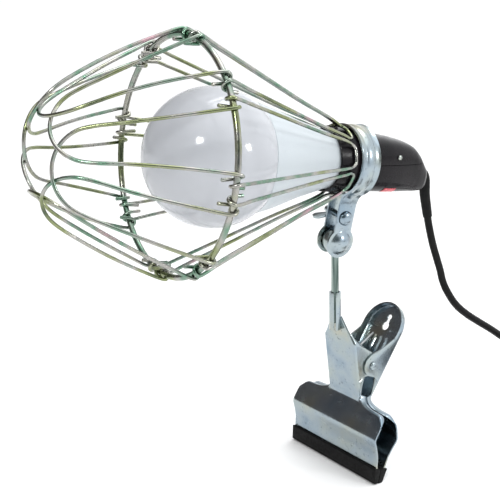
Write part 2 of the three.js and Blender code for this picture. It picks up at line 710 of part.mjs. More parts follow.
function equatorRing() {
  const { ring, ringRadius, ringWire } = GUARD;
  const profile = [];
  for (let i = 0; i <= 6; i += 1) {
    const a = (i / 6) * 2 * Math.PI + 30 * RAD;
    profile.push([ringRadius + ringWire * Math.cos(a), ring + ringWire * Math.sin(a)]);
  }
  return turnedAlongLamp(profile, 56);
}

// A wire end bent round the ring: outside it, round its far side, and back inside as a short tail.
// From is +1 for a wire that comes from the front, -1 for one from the rear.
function hookPoints(degrees, from, drift) {
  const { ring, ringRadius, ringWire, wire, tail } = GUARD;
  const r = ringWire + wire + GAP;
  const points = [];
  for (let a = 0; a <= 180; a += 30) {
    const radial = ringRadius + r * Math.cos(a * RAD);
    points.push(polar(radial, degrees + (drift * a) / 180, ring - from * r * Math.sin(a * RAD)));
  }
  points.push(polar(ringRadius - r - 0.4, degrees + drift * 1.3, ring + from * tail));
  return points;
}

// One front loop: hook, leg, U-turn at the nose, leg, hook.
function frontLoop(centre) {
  const { ring, ringRadius, ringWire, wire, stations, frontOffset, noseRadius, noseDepth, uTurn, bow, weave } = GUARD;
  const half = 360 / stations - frontOffset;
  const start = ringRadius + ringWire + wire + GAP;
  const [chord, reach] = [start * Math.sin(half * RAD), start * Math.cos(half * RAD)];
  const length = Math.hypot(noseRadius - reach, noseDepth);
  const place = (across, along) => {
    const f = along / length;
    const lift = bow * 4 * f * (1 - f) + (weave * f * across) / uTurn;
    const radial = reach + (noseRadius - reach) * f + (lift * noseDepth) / length;
    const forward = ring + noseDepth * f + (lift * (reach - noseRadius)) / length;
    const [x, y, z] = [across, -forward, radial];
    const [c, s] = [Math.cos(centre * RAD), Math.sin(centre * RAD)];
    return [x * c + z * s, y, -x * s + z * c];
  };
  const hub = length - uTurn;
  const tangent = Math.atan2(-hub, chord) + Math.acos(uTurn / Math.hypot(chord, hub));
  const side = [];
  for (const f of [0.25, 0.5, 0.75]) {
    const [endX, endY] = [uTurn * Math.cos(tangent), hub + uTurn * Math.sin(tangent)];
    side.push([chord + (endX - chord) * f, endY * f]);
  }
  for (let i = 0; i <= 4; i += 1) {
    const a = tangent + ((90 * RAD - tangent) * i) / 4;
    side.push([uTurn * Math.cos(a), hub + uTurn * Math.sin(a)]);
  }
  const right = side.map(([x, y]) => place(x, y));
  const left = side.slice(0, -1).reverse().map(([x, y]) => place(-x, y));
  const rightHook = hookPoints(centre + half, 1, 2.4).reverse();
  const leftHook = hookPoints(centre - half, 1, -2.4);
  return bar([...rightHook, ...right, ...left, ...leftHook], wire, 6, 1);
}

// One rear loop: two legs from the ring, joined by an arc that lies against the socket.
function rearLoop(centre) {
  const { ring, ringRadius, ringWire, wire, stations, rearOffset, collarRadius, collar, collarHalf } = GUARD;
  const half = 180 / stations - rearOffset;
  const start = ringRadius + ringWire + wire + GAP;
  const leg = (sign) => [0.15, 0.45, 0.8].map((f) => {
    const degrees = centre + sign * (half + (collarHalf - half) * f);
    const forward = ring + (collar + 14 - ring) * f;
    return polar(start + (collarRadius + 5.5 - start) * f, degrees, forward);
  });
  const bend = (sign) => [
    polar(collarRadius + 4.2, centre + sign * collarHalf, collar + 9),
    polar(collarRadius + 0.8, centre + sign * (collarHalf - 1), collar + 2.4),
    polar(collarRadius, centre + sign * (collarHalf - 6), collar),
  ];
  const arc = [polar(collarRadius, centre, collar)];
  const points = [
    ...hookPoints(centre + half, -1, 2).reverse(),
    ...leg(1), ...bend(1), ...arc, ...bend(-1).reverse(), ...leg(-1).reverse(),
    ...hookPoints(centre - half, -1, -2),
  ];
  return bar(points, wire, 6, 1);
}

// ---------------------------------------------------------------- lamp head
function buildHead() {
  const head = new THREE.Group();
  const station = 360 / GUARD.stations;
  head.add(piece('clamp_band', clampBand(), zinc()));
  head.add(piece('clamp_bolt', clampBolt(), zinc()));
  head.add(piece('clamp_wing_nut', wingNut(), zinc()));
  head.add(piece('socket_body', socketBody(), blackPlastic()));
  head.add(piece('threaded_shell', threadedShell(), brass()));
  head.add(piece('centre_contact', centreContact(), brass()));
  head.add(piece('insulator_disc', insulatorDisc(), ceramic()));
  head.add(piece('rear_cover_upper', coverHalf(true), blackPlastic()));
  head.add(piece('rear_cover_lower', coverHalf(false), blackPlastic()));
  head.add(piece('cover_screw', coverScrew(), zinc()));
  head.add(piece('strain_relief', strainRelief(), rubber()));
  head.add(piece('bulb_globe', bulbGlobe(), finish(0xf2f3f4, 0.5, 0.0)));
  head.add(piece('led_board', ledBoard(), ceramic()));
  head.add(piece('driver_board', driverBoard(), finish(0x2f6b3c, 0.6, 0.0)));
  head.add(piece('bulb_housing', bulbHousing(), finish(0xe9eced, 0.45, 0.0)));
  head.add(piece('bulb_cap', bulbCap(), finish(0xc8c9c6, 0.3, 1.0)));
  head.add(piece('bulb_tip_contact', bulbTip(), brass()));
  head.add(piece('guard_ring', equatorRing(), guardZinc()));
  for (let k = 0; k < GUARD.stations; k += 1) {
    head.add(piece(`guard_front_loop_${k + 1}`, frontLoop(k * station), guardZinc()));
    head.add(piece(`guard_rear_loop_${k + 1}`, rearLoop((k + 0.5) * station), guardZinc()));
  }
  for (const [k, side] of [-1, 1].entries()) {
    head.add(piece(`terminal_screw_${k + 1}`, terminalScrew(side), brass()));
    head.add(piece(`core_wire_${k + 1}`, coreWire(side), finish([0x1a1a1a, 0xe8e8e8][k], 0.5, 0.0)));
  }
  return head;
}

function placeHead(head) {
  head.position.set(0, 0, HEAD.drop);
  const swivel = new THREE.Group();
  swivel.add(head);
  swivel.rotation.set(-HEAD.tilt * RAD, HEAD.roll * RAD, HEAD.yaw * RAD, 'ZXY');
  swivel.position.set(0, 0, BALL.height);
  swivel.updateMatrixWorld(true);
  return swivel;
}

// ---------------------------------------------------------------- cord
// Route from the strain relief to the coil, set by hand: it hangs, lands on the floor and curves to the coil.
const CORD_ROUTE = [
  [7.7, 74.1, 155.7], [7.5, 75, 152.2], [7.9, 76.3, 146], [8.2, 77.8, 140], [8.6, 79.9, 133], [9.2, 82.6, 125],
  [9.9, 85.2, 117],
  [11, 87.6, 107.5], [12.6, 91.8, 98.5], [14.4, 97.6, 90], [16.4, 105.6, 82.4], [18.6, 115.8, 74.8],
  [21, 128, 66.2], [23, 140, 57], [25.2, 152, 47], [28, 164, 36.6], [31.6, 175, 27.4], [36, 185, 20],
  [42, 193.6, 14.6], [49, 201, 11.2], [56.5, 206.2, 9.6], [63.5, 209.2, 9.1], [70, 210.6, 9.1],
];
const TAIL_ROUTE = [
  [127.8, 160, 3.8], [128.4, 151, 3.0], [128.8, 142, 2.8], [129, 133, 4.2], [129, 126, 6.0], [129, 120.6, 6.5],
];

function coilRing() {
  const { x, y, inner, outer, bottom, height } = COIL;
  const soft = 2.4;
  const geometry = turned([
    [inner + soft, bottom], [outer - soft, bottom], [outer, bottom + soft], [outer, bottom + height - soft],
    [outer - soft, bottom + height], [inner + soft, bottom + height], [inner, bottom + height - soft],
    [inner, bottom + soft], [inner + soft, bottom],
  ], 32);
  geometry.translate(x, y, 0);
  return geometry;
}

// Band tied round one side of the coil.
function coilTie() {
  const { x, y, inner, outer, bottom, height } = COIL;
  const loop = (grow) => [
    [y - outer - grow, bottom - grow], [y - inner + grow + 0.4, bottom - grow],
    [y - inner + grow + 0.4, bottom + height + grow], [y - outer - grow, bottom + height + grow],
  ];
  const band = toSolid(extrudeX(loop(1.1), x - 3.5, x + 3.5));
  return toGeometry(band.subtract(toSolid(extrudeX(loop(GAP), x - 5, x + 5))));
}

// Plug coordinates: the cord enters at the origin and the blades point along -Y.
function plugBody() {
  const { length, width, height, neck } = PLUG;
  const plan = [
    [-3.4, 0], [3.4, 0], [4.2, -neck], [width / 2 - 2, -neck - 3], [width / 2, -neck - 6],
    [width / 2, -neck - length + 1], [width / 2 - 1, -neck - length], [-width / 2 + 1, -neck - length],
    [-width / 2, -neck - length + 1], [-width / 2, -neck - 6], [-width / 2 + 2, -neck - 3], [-4.2, -neck],
  ];
  const shape = new THREE.Shape(plan.map(([x, y]) => new THREE.Vector2(x, y)));
  const slab = new THREE.ExtrudeGeometry(shape, { depth: height, bevelEnabled: false });
  slab.translate(0, 0, -height / 2);
  const side = [
    [0, -3.4], [0, 3.4], [-neck, 4.4], [-neck - 5, height / 2], [-neck - length, height / 2],
    [-neck - length, -height / 2], [-neck - 5, -height / 2], [-neck, -4.4],
  ];
  return toGeometry(toSolid(slab).intersect(toSolid(extrudeX(side, -width, width))));
}

const plugBlade = (side) => {
  const start = -PLUG.neck - PLUG.length - GAP;
  const x = (side * PLUG.bladeGap) / 2;
  return box(x - 0.75, x + 0.75, start - PLUG.blade, start, -3.15, 3.15);
};

function buildPlug() {
  const plug = new THREE.Group();
  plug.add(piece('plug_body', plugBody(), rubber()));
  plug.add(piece('plug_blade_1', plugBlade(-1), brass()));
  plug.add(piece('plug_blade_2', plugBlade(1), brass()));
  const [x, y, z] = TAIL_ROUTE[TAIL_ROUTE.length - 1];
  plug.position.set(x, y - GAP, z);
  return plug;
}

function buildCord() {
  const cord = new THREE.Group();
  cord.add(piece('cord', bar(CORD_ROUTE, CORD.radius, CORD.sides, 2), rubber()));
  cord.add(piece('cord_coil', coilRing(), rubber()));
  cord.add(piece('cord_tail', bar(TAIL_ROUTE, CORD.radius, CORD.sides, 2), rubber()));
  cord.add(piece('coil_tie', coilTie(), blackPlastic()));
  cord.add(buildPlug());
  return cord;
}

const lamp = new THREE.Group();
lamp.add(buildClip());
lamp.add(buildStem());
lamp.add(placeHead(buildHead()));
lamp.add(buildCord());
lamp.updateMatrixWorld(true);

export default lamp;
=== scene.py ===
"""Clip-on guarded lamp: the looks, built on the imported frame. Metres, +Z up, lamp looking along -Y."""
import bmesh
import bpy
import json
from math import acos, asin, atan2, cos, hypot, pi, radians, sin, sqrt
from mathutils import Matrix, Vector


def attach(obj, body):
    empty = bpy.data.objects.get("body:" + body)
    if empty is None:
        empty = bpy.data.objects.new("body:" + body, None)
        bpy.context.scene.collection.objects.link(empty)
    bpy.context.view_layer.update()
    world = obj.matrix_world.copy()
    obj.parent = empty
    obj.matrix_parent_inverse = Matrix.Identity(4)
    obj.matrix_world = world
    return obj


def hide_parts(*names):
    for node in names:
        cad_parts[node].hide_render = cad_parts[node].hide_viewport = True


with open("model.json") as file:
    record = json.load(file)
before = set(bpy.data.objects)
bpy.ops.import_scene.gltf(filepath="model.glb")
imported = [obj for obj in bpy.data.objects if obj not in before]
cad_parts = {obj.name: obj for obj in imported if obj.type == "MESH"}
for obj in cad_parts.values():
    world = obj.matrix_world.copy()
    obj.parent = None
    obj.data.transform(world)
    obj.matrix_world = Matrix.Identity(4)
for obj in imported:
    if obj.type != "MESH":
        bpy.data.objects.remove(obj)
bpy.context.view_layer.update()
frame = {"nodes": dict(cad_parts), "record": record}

MM = 0.001

# ---------------- driving dimensions, millimetres
BALL_HEIGHT = 151.8
HEAD = {"yaw": -4.5, "tilt": 8.2, "roll": 7.4, "drop": 51.4}
GUARD = {
    "ring": 121.8, "ring_radius": 65, "ring_wire": 1.5, "ring_swell": 0.25, "wire": 1.0, "stations": 8,
    "front_offset": 8.6, "rear_offset": 4.3, "nose_radius": 19.7, "nose_depth": 76.6, "u_turn": 22,
    "bow": 2.9, "weave": 3.2, "collar_radius": 20.8, "collar": 13, "collar_half": 18.4,
    "tail": 7, "tail_dip": 0.4, "front_drift": 2.4, "rear_drift": 2, "gap": 0.3,
}
BULB = {
    "radius": 39.1, "centre": 97.8, "seam": 76, "seam_gap": 0.3, "wall": 1.4, "shell_wall": 1.8,
    "neck_radius": 17.2, "neck_end": 15,
}
SOCKET_MOUTH = 21.8
CORD = {"radius": 2.5, "length": 1.7}
COIL = {  # radii and heights of the turns, and their angles in degrees turned since the cord reaches the coil
    "x": 84, "y": 168, "outer": 37.9, "pitch": 5.2, "low": 3.9, "high": 9.1, "entry_radius": 44.8,
    "exit_radius": 44.5, "zero": 40, "entry": -68, "step": 20, "jog": 60, "inward": (290, 650, 1010),
    "drop": 1310, "outward": (1610, 1970, 2330), "leave": 2520, "leave_span": 50, "end": 2570,
}

CORD_ROUTE = [
    (7.7, 74.1, 155.7), (7.5, 75, 152.2), (7.9, 76.3, 146), (8.2, 77.8, 140), (8.6, 79.9, 133),
    (9.2, 82.6, 125), (9.9, 85.2, 117), (11, 87.6, 107.5), (12.6, 91.8, 98.5), (14.4, 97.6, 90),
    (16.4, 105.6, 82.4), (18.6, 115.8, 74.8), (21, 128, 66.2), (23, 140, 57), (25.2, 152, 47),
    (28, 164, 36.6), (31.6, 175, 27.4), (36, 185, 20), (42, 193.6, 14.6), (49, 201, 11.2),
    (56.5, 206.2, 9.6), (63.5, 209.2, 9.1), (70, 210.6, 9.1),
]
TAIL_ROUTE = [
    (127.8, 160, 3.8), (128.4, 151, 3.0), (128.8, 142, 2.8),
    (129, 133, 4.2), (129, 126, 6.0), (129, 120.6, 6.5),
]

# Head coordinates (lamp axis along -Y from the clamp band) to the row frame.
HEAD_MATRIX = (
    Matrix.Translation((0, 0, BALL_HEIGHT))
    @ Matrix.Rotation(radians(HEAD["yaw"]), 4, "Z")
    @ Matrix.Rotation(radians(-HEAD["tilt"]), 4, "X")
    @ Matrix.Rotation(radians(HEAD["roll"]), 4, "Y")
    @ Matrix.Translation((0, 0, HEAD["drop"]))
)


# ---------------- camera and studio
CAMERA = {
    "azimuth": 53.43, "elevation": 16.54, "roll": -1.51, "field": 28.348, "place": (442.1, -393.7, 321.9),
}
SKY_WHITE = (0.99, 0.995, 1.0)
FLOOR_HALF = 30
MIX_A, MIX_B, MIX_RESULT = 6, 7, 2  # the colour sockets of a Mix node, which share their names with others


def add_camera():
    a, e, roll = (radians(CAMERA[k]) for k in ("azimuth", "elevation", "roll"))
    right = Vector((cos(a), sin(a), 0))
    up = Vector((-sin(a) * sin(e), cos(a) * sin(e), cos(e)))
    back = Vector((sin(a) * cos(e), -cos(a) * cos(e), sin(e)))
    axes = (right * cos(roll) + up * sin(roll), up * cos(roll) - right * sin(roll), back)
    matrix = Matrix(axes).transposed().to_4x4()
    matrix.translation = Vector(CAMERA["place"]) * MM
    data = bpy.data.cameras.new("camera")
    data.sensor_fit = "HORIZONTAL"
    data.angle = radians(CAMERA["field"])
    data.clip_start = 0.01
    camera = bpy.data.objects.new("camera", data)
    camera.matrix_world = matrix
    bpy.context.scene.collection.objects.link(camera)
    bpy.context.scene.camera = camera


def add_light(name, place, target, size, power):
    data = bpy.data.lights.new(name, "AREA")
    data.energy = power
    data.size = size
    light = bpy.data.objects.new(name, data)
    light.location = place
    light.rotation_euler = (Vector(target) - Vector(place)).to_track_quat("-Z", "Y").to_euler()
    bpy.context.scene.collection.objects.link(light)


def dark_patch(world, direction, full, none, shade):
    """White sky with a dark cone about a direction. Full and none are the cosines of its two edges."""
    nodes, links = world.node_tree.nodes, world.node_tree.links
    coordinates = nodes.new("ShaderNodeTexCoord")
    toward = nodes.new("ShaderNodeVectorMath")
    toward.operation = "DOT_PRODUCT"
    toward.inputs[1].default_value = direction
    links.new(coordinates.outputs["Generated"], toward.inputs[0])
    ramp = nodes.new("ShaderNodeValToRGB")
    ramp.color_ramp.elements[0].position = none
    ramp.color_ramp.elements[0].color = (*SKY_WHITE, 1)
    ramp.color_ramp.elements[1].position = full
    ramp.color_ramp.elements[1].color = (*shade, 1)
    links.new(toward.outputs["Value"], ramp.inputs["Fac"])
    return ramp.outputs["Color"]


def world_light():
    """White all round, with two dark patches that the bright metal picks up but that are no backdrop."""
    world = bpy.data.worlds.new("studio")
    world.use_nodes = True
    nodes, links = world.node_tree.nodes, world.node_tree.links
    both = nodes.new("ShaderNodeVectorMath")
    both.operation = "MULTIPLY"
    left = dark_patch(world, (-0.767, -0.468, 0.438), 0.78, 0.3, (0.11, 0.1, 0.1))
    right = dark_patch(world, (0.77, -0.57, 0.285), 0.92, 0.66, (0.1, 0.12, 0.12))
    links.new(left, both.inputs[0])
    links.new(right, both.inputs[1])
    backdrop = nodes.new("ShaderNodeMix")
    backdrop.data_type = "RGBA"
    backdrop.inputs[MIX_B].default_value = (*SKY_WHITE, 1)
    links.new(nodes.new("ShaderNodeLightPath").outputs["Is Camera Ray"], backdrop.inputs["Factor"])
    links.new(both.outputs["Vector"], backdrop.inputs[MIX_A])
    links.new(backdrop.outputs[MIX_RESULT], nodes["Background"].inputs["Color"])
    nodes["Background"].inputs["Strength"].default_value = 1.4
    bpy.context.scene.world = world


def add_studio():
    world_light()
    middle = (0, -0.03, 0.15)
    add_light("key", (0.55, -0.9, 0.95), middle, 0.2, 5)
    add_light("side", (0.95, 0.45, 0.55), middle, 0.16, 2.5)
    add_light("top", (-0.1, 0.3, 1.25), middle, 0.5, 3)
    overhead = bpy.data.lights.new("overhead", "SUN")
    overhead.energy = 0.9
    overhead.angle = radians(80)
    bpy.context.scene.collection.objects.link(bpy.data.objects.new("overhead", overhead))
    mesh = bpy.data.meshes.new("floor")
    r = FLOOR_HALF
    mesh.from_pydata([(-r, -r, 0), (r, -r, 0), (r, r, 0), (-r, r, 0)], [], [(0, 1, 2, 3)])
    floor = bpy.data.objects.new("floor", mesh)
    bpy.context.scene.collection.objects.link(floor)
    floor.data.materials.append(floor_material())
    bpy.context.scene.view_settings.view_transform = "Standard"


# ---------------- materials
class Shader:
    """One node material: a principled shader with helpers for noise, colour ramps, roughness and bump."""

    def __init__(self, name, base, roughness, metallic=0.0):
        self.material = bpy.data.materials.new(name)
        self.material.use_nodes = True
        self.nodes = self.material.node_tree.nodes
        self.links = self.material.node_tree.links
        self.bsdf = self.nodes["Principled BSDF"]
        self.bsdf.inputs["Base Color"].default_value = (*base, 1)
        self.bsdf.inputs["Roughness"].default_value = roughness
        self.bsdf.inputs["Metallic"].default_value = metallic
        self.coordinates = self.nodes.new("ShaderNodeTexCoord")

    def noise(self, scale, detail=3.0, stretch=(1, 1, 1)):
        mapping = self.nodes.new("ShaderNodeMapping")
        mapping.inputs["Scale"].default_value = stretch
        self.links.new(self.coordinates.outputs["Object"], mapping.inputs["Vector"])
        noise = self.nodes.new("ShaderNodeTexNoise")
        noise.inputs["Scale"].default_value = scale
        noise.inputs["Detail"].default_value = detail
        self.links.new(mapping.outputs["Vector"], noise.inputs["Vector"])
        return noise.outputs["Fac"]

    def ramp(self, factor, stops):
        ramp = self.nodes.new("ShaderNodeValToRGB")
        elements = ramp.color_ramp.elements
        while len(elements) < len(stops):
            elements.new(0.5)
        for element, (position, color) in zip(elements, stops):
            element.position = position
            element.color = (*color, 1)
        self.links.new(factor, ramp.inputs["Fac"])
        return ramp.outputs["Color"]

    def spread(self, factor, low, high):
        spread = self.nodes.new("ShaderNodeMapRange")
        spread.inputs["From Min"].default_value = 0.3
        spread.inputs["From Max"].default_value = 0.7
        spread.inputs["To Min"].default_value = low
        spread.inputs["To Max"].default_value = high
        self.links.new(factor, spread.inputs["Value"])
        return spread.outputs["Result"]

    def specks(self, output, scale, level, shade):
        """Darkens a colour in small marks, where a noise of this scale rises over the level."""
        marks = self.ramp(self.noise(scale, 2), [(level, (1, 1, 1)), (level + 0.04, (shade,) * 3)])
        darken = self.nodes.new("ShaderNodeMix")
        darken.data_type = "RGBA"
        darken.blend_type = "MULTIPLY"
        darken.inputs["Factor"].default_value = 1
        self.links.new(output, darken.inputs[MIX_A])
        self.links.new(marks, darken.inputs[MIX_B])
        return darken.outputs[MIX_RESULT]

    def paint(self, output):
        self.links.new(output, self.bsdf.inputs["Base Color"])

    def tint(self, factor, stops):
        self.paint(self.ramp(factor, stops))

    def roughness(self, factor, low, high):
        self.links.new(self.spread(factor, low, high), self.bsdf.inputs["Roughness"])

    def bump(self, factor, strength, distance):
        bump = self.nodes.new("ShaderNodeBump")
        bump.inputs["Strength"].default_value = strength
        bump.inputs["Distance"].default_value = distance
        self.links.new(factor, bump.inputs["Height"])
        self.links.new(bump.outputs["Normal"], self.bsdf.inputs["Normal"])


def floor_material():
    shader = Shader("floor_paper", (0.97, 0.97, 0.97), 0.85)
    shader.tint(shader.noise(2), [(0.3, (0.965, 0.965, 0.965)), (0.7, (0.98, 0.98, 0.98))])
    return shader.material


def zinc_sheet():
    """Bright zinc plate on pressed sheet, with faint blue, green and yellow passivation clouds."""
    shader = Shader("zinc_sheet", (0.62, 0.7, 0.72), 0.3, 1.0)
    clouds = shader.ramp(shader.noise(38, 4), [
        (0.32, (0.23, 0.3, 0.36)), (0.45, (0.32, 0.38, 0.42)),
        (0.56, (0.35, 0.4, 0.4)), (0.68, (0.4, 0.4, 0.33)),
    ])
    shader.paint(shader.specks(clouds, 520, 0.66, 0.55))
    shader.roughness(shader.noise(140, 4), 0.17, 0.29)
    shader.bump(shader.noise(700, 3), 0.05, 0.00005)
    return shader.material


def zinc_rod():
    """Drawn rod: the same plating, darker, with dark and pale bands along its length, partly drawing marks
    and partly painted reflections.
    """
    shader = Shader("zinc_rod", (0.3, 0.34, 0.34), 0.2, 1.0)
    streaks_and_painted_reflections = shader.noise(420, 3, (1, 1, 0.03))
    # The near-black and pale stops paint reflection bands down the rod, over its drawing marks.
    shader.tint(streaks_and_painted_reflections, [
        (0.38, (0.05, 0.08, 0.07)), (0.48, (0.26, 0.32, 0.3)), (0.6, (0.5, 0.54, 0.52)),
    ])
    shader.roughness(shader.noise(300, 3), 0.15, 0.28)
    return shader.material


def zinc_wire():
    """Zinc plated wire: yellow, green and pink passivation in long drifting patches, with near-black patches
    that paint dark reflections.
    """
    shader = Shader("zinc_wire", (0.5, 0.5, 0.4), 0.3, 1.0)
    # The near-black first stop paints dark reflections. The other stops are passivation tints.
    shader.tint(shader.noise(30, 4), [
        (0.28, (0.07, 0.09, 0.07)), (0.4, (0.24, 0.27, 0.14)), (0.5, (0.36, 0.35, 0.33)),
        (0.6, (0.13, 0.24, 0.17)), (0.72, (0.42, 0.28, 0.31)),
    ])
    shader.roughness(shader.noise(500, 4), 0.14, 0.3)
    shader.bump(shader.noise(1500, 3), 0.15, 0.00004)
    return shader.material


def spring_steel():
    shader = Shader("spring_steel", (0.42, 0.43, 0.44), 0.35, 1.0)
    shader.tint(shader.noise(120, 4), [(0.3, (0.3, 0.31, 0.33)), (0.7, (0.5, 0.5, 0.5))])
    shader.bump(shader.noise(2000, 2), 0.1, 0.00003)
    return shader.material


def black_plastic():
    shader = Shader("black_plastic", (0.006, 0.005, 0.006), 0.2)
    shader.bsdf.inputs["Specular IOR Level"].default_value = 0.15
    shader.tint(shader.noise(60, 3), [
        (0.3, (0.003, 0.003, 0.004)), (0.7, (0.011, 0.009, 0.011)),
    ])
    shader.roughness(shader.noise(160, 4), 0.12, 0.34)
    shader.bump(shader.noise(220, 3), 0.08, 0.0002)
    return shader.material


def black_rubber(name, base, low, high, grain):
    shader = Shader(name, (base, base, base), low)
    shader.bsdf.inputs["Specular IOR Level"].default_value = 0.12
    shader.tint(shader.noise(90, 4), [(0.3, (base * 0.7,) * 3), (0.7, (base * 1.4,) * 3)])
    shader.roughness(shader.noise(600, 4), low, high)
    shader.bump(shader.noise(grain, 4), 0.3, 0.0001)
    return shader.material


def white_plastic(name, tone, low, high, translucent):
    shader = Shader(name, tone, low)
    shade = tuple(v * 0.965 for v in tone)
    shader.tint(shader.noise(25, 2), [(0.3, shade), (0.7, tone)])
    shader.roughness(shader.noise(900, 3), low, high)
    shader.bump(shader.noise(2600, 2), 0.06, 0.00003)
    if translucent:
        shader.bsdf.inputs["Subsurface Weight"].default_value = 0.25
        shader.bsdf.inputs["Subsurface Radius"].default_value = (0.004, 0.004, 0.004)
    return shader.material


def brass():
    shader = Shader("brass", (0.7, 0.56, 0.28), 0.3, 1.0)
    shader.tint(shader.noise(80, 4), [(0.3, (0.58, 0.44, 0.2)), (0.7, (0.78, 0.64, 0.36))])
    shader.roughness(shader.noise(400, 3), 0.22, 0.4)
    return shader.material


def ceramic():
    shader = Shader("ceramic", (0.8, 0.78, 0.72), 0.55)
    shader.tint(shader.noise(70, 4), [(0.3, (0.72, 0.7, 0.63)), (0.7, (0.84, 0.82, 0.77))])
    shader.bump(shader.noise(1200, 4), 0.2, 0.00006)
    return shader.material


def circuit_board():
    shader = Shader("circuit_board", (0.03, 0.16, 0.07), 0.45)
    shader.tint(shader.noise(220, 2), [(0.45, (0.02, 0.12, 0.05)), (0.55, (0.05, 0.24, 0.1))])
    shader.bump(shader.noise(500, 2), 0.3, 0.0002)
    return shader.material


def bright_cap():
    shader = Shader("bright_cap", (0.7, 0.71, 0.7), 0.25, 1.0)
    shader.tint(shader.noise(90, 3), [(0.3, (0.62, 0.63, 0.62)), (0.7, (0.76, 0.76, 0.74))])
    shader.roughness(shader.noise(500, 3), 0.18, 0.34)
    return shader.material


def red_sticker():
    shader = Shader("red_sticker", (0.6, 0.05, 0.07), 0.4)
    shader.tint(shader.noise(300, 4), [(0.35, (0.42, 0.03, 0.05)), (0.65, (0.66, 0.08, 0.1))])
    shader.roughness(shader.noise(900, 3), 0.32, 0.5)
    return shader.material


MATERIALS = {
    "zinc_plate": zinc_sheet(),
    "zinc_rod": zinc_rod(),
    "guard_zinc": zinc_wire(),
    "spring_steel": spring_steel(),
    "black_plastic": black_plastic(),
    "black_rubber": black_rubber("black_rubber", 0.007, 0.5, 0.75, 900),
    "cord_rubber": black_rubber("cord_rubber", 0.006, 0.3, 0.5, 1600),
    "plug_rubber": black_rubber("plug_rubber", 0.01, 0.4, 0.6, 1200),
    "coil_tie": black_rubber("tie_plastic", 0.03, 0.4, 0.5, 2000),
    "brass": brass(),
    "ceramic": ceramic(),
    "bulb_diffuser": white_plastic("bulb_diffuser", (0.49, 0.505, 0.54), 0.08, 0.15, True),
    "bulb_housing": white_plastic("bulb_housing", (0.52, 0.565, 0.6), 0.3, 0.42, False),
    "led_board": white_plastic("board_coating", (0.85, 0.86, 0.84), 0.4, 0.5, False),
    "driver_board": circuit_board(),
    "bulb_cap": bright_cap(),
    "red_sticker": red_sticker(),
    "core_black": black_rubber("core_black", 0.03, 0.4, 0.5, 1500),
    "core_white": white_plastic("core_white", (0.8, 0.8, 0.78), 0.4, 0.5, False),
}

SLOT_OF_NODE = {s["node"]: s["material_slot"] for s in frame["record"]["subparts"]}


# ---------------- mesh helpers
SHARP = 35  # degrees, edges that stay sharp in the shading


def add_piece(name, vertices, faces, slot, body, stands_for=(), matrix=None):
    """A mesh piece, given in millimetres, with its material, its body and the CAD nodes it stands for."""
    place = matrix or Matrix.Identity(4)
    mesh = bpy.data.meshes.new(name)
    mesh.from_pydata([(place @ Vector(v)) * MM for v in vertices], [], faces)
    mesh.update()
    piece = bpy.data.objects.new(name, mesh)
    bpy.context.scene.collection.objects.link(piece)
    mesh.materials.append(MATERIALS[slot])
    smooth(piece)
    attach(piece, body)
    if stands_for:
        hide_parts(*stands_for)
    return piece


def ramp_up(x):
    """Smooth step from 0 to 1."""
    x = min(max(x, 0), 1)
    return x * x * (3 - 2 * x)


def grid_faces(rows, columns):
    """Faces of a grid of points that is stored row by row."""
    faces = []
    for i in range(rows - 1):
        for k in range(columns - 1):
            a = i * columns + k
            faces.append((a, a + 1, a + 1 + columns, a + columns))
    return faces


def ring_faces(rows, sides):
    """Faces of a stack of closed rings that is stored ring by ring."""
    faces = []
    for i in range(rows - 1):
        for k in range(sides):
            a, b = i * sides + k, i * sides + (k + 1) % sides
            faces.append((a, b, b + sides, a + sides))
    return faces


def smooth(piece):
    piece.data.polygons.foreach_set("use_smooth", [True] * len(piece.data.polygons))
    piece.data.set_sharp_from_angle(angle=radians(SHARP))


def curve_through(points, steps):
    """Centripetal Catmull-Rom curve through the points, the one that the CAD wires follow."""
    knots = [Vector(p) for p in points]
    knots = [knots[0] * 2 - knots[1], *knots, knots[-1] * 2 - knots[-2]]
    result = []
    for p0, p1, p2, p3 in zip(knots, knots[1:], knots[2:], knots[3:]):
        t = [0.0]
        for a, b in ((p0, p1), (p1, p2), (p2, p3)):
            t.append(t[-1] + max((b - a).length, 1e-6) ** 0.5)
        for i in range(steps):
            x = t[1] + (t[2] - t[1]) * i / steps
            a1 = p0.lerp(p1, (x - t[0]) / (t[1] - t[0]))
            a2 = p1.lerp(p2, (x - t[1]) / (t[2] - t[1]))
            a3 = p2.lerp(p3, (x - t[2]) / (t[3] - t[2]))
            b1 = a1.lerp(a2, (x - t[0]) / (t[2] - t[0]))
            b2 = a2.lerp(a3, (x - t[1]) / (t[3] - t[1]))
            result.append(b1.lerp(b2, (x - t[1]) / (t[2] - t[1])))
    result.append(knots[-2])
    return result


def tube(path, radius, sides, round_end=0.3):
    """Vertices and faces of a closed round tube along a path, with slightly rounded ends."""
    sections = [(path[0], radius * (1 - round_end))]
    first = (path[1] - path[0]).normalized()
    last = (path[-1] - path[-2]).normalized()
    sections.append((path[0] + first * radius * round_end, radius))
    sections += [(p, radius) for p in path[1:-1]]
    sections.append((path[-1] - last * radius * round_end, radius))
    sections.append((path[-1], radius * (1 - round_end)))
    vertices = []
    normal = None
    for i, (centre, r) in enumerate(sections):
        before = sections[max(i - 1, 0)][0]
        after = sections[min(i + 1, len(sections) - 1)][0]
        tangent = (after - before).normalized()
        if normal is None:
            normal = tangent.orthogonal().normalized()
        normal = (normal - tangent * normal.dot(tangent)).normalized()
        other = tangent.cross(normal)
        for k in range(sides):
            a = 2 * pi * k / sides
            vertices.append(centre + (normal * cos(a) + other * sin(a)) * r)
    faces = ring_faces(len(sections), sides)
    faces.append(tuple(reversed(range(sides))))
    faces.append(tuple(range((len(sections) - 1) * sides, len(sections) * sides)))
    return vertices, faces


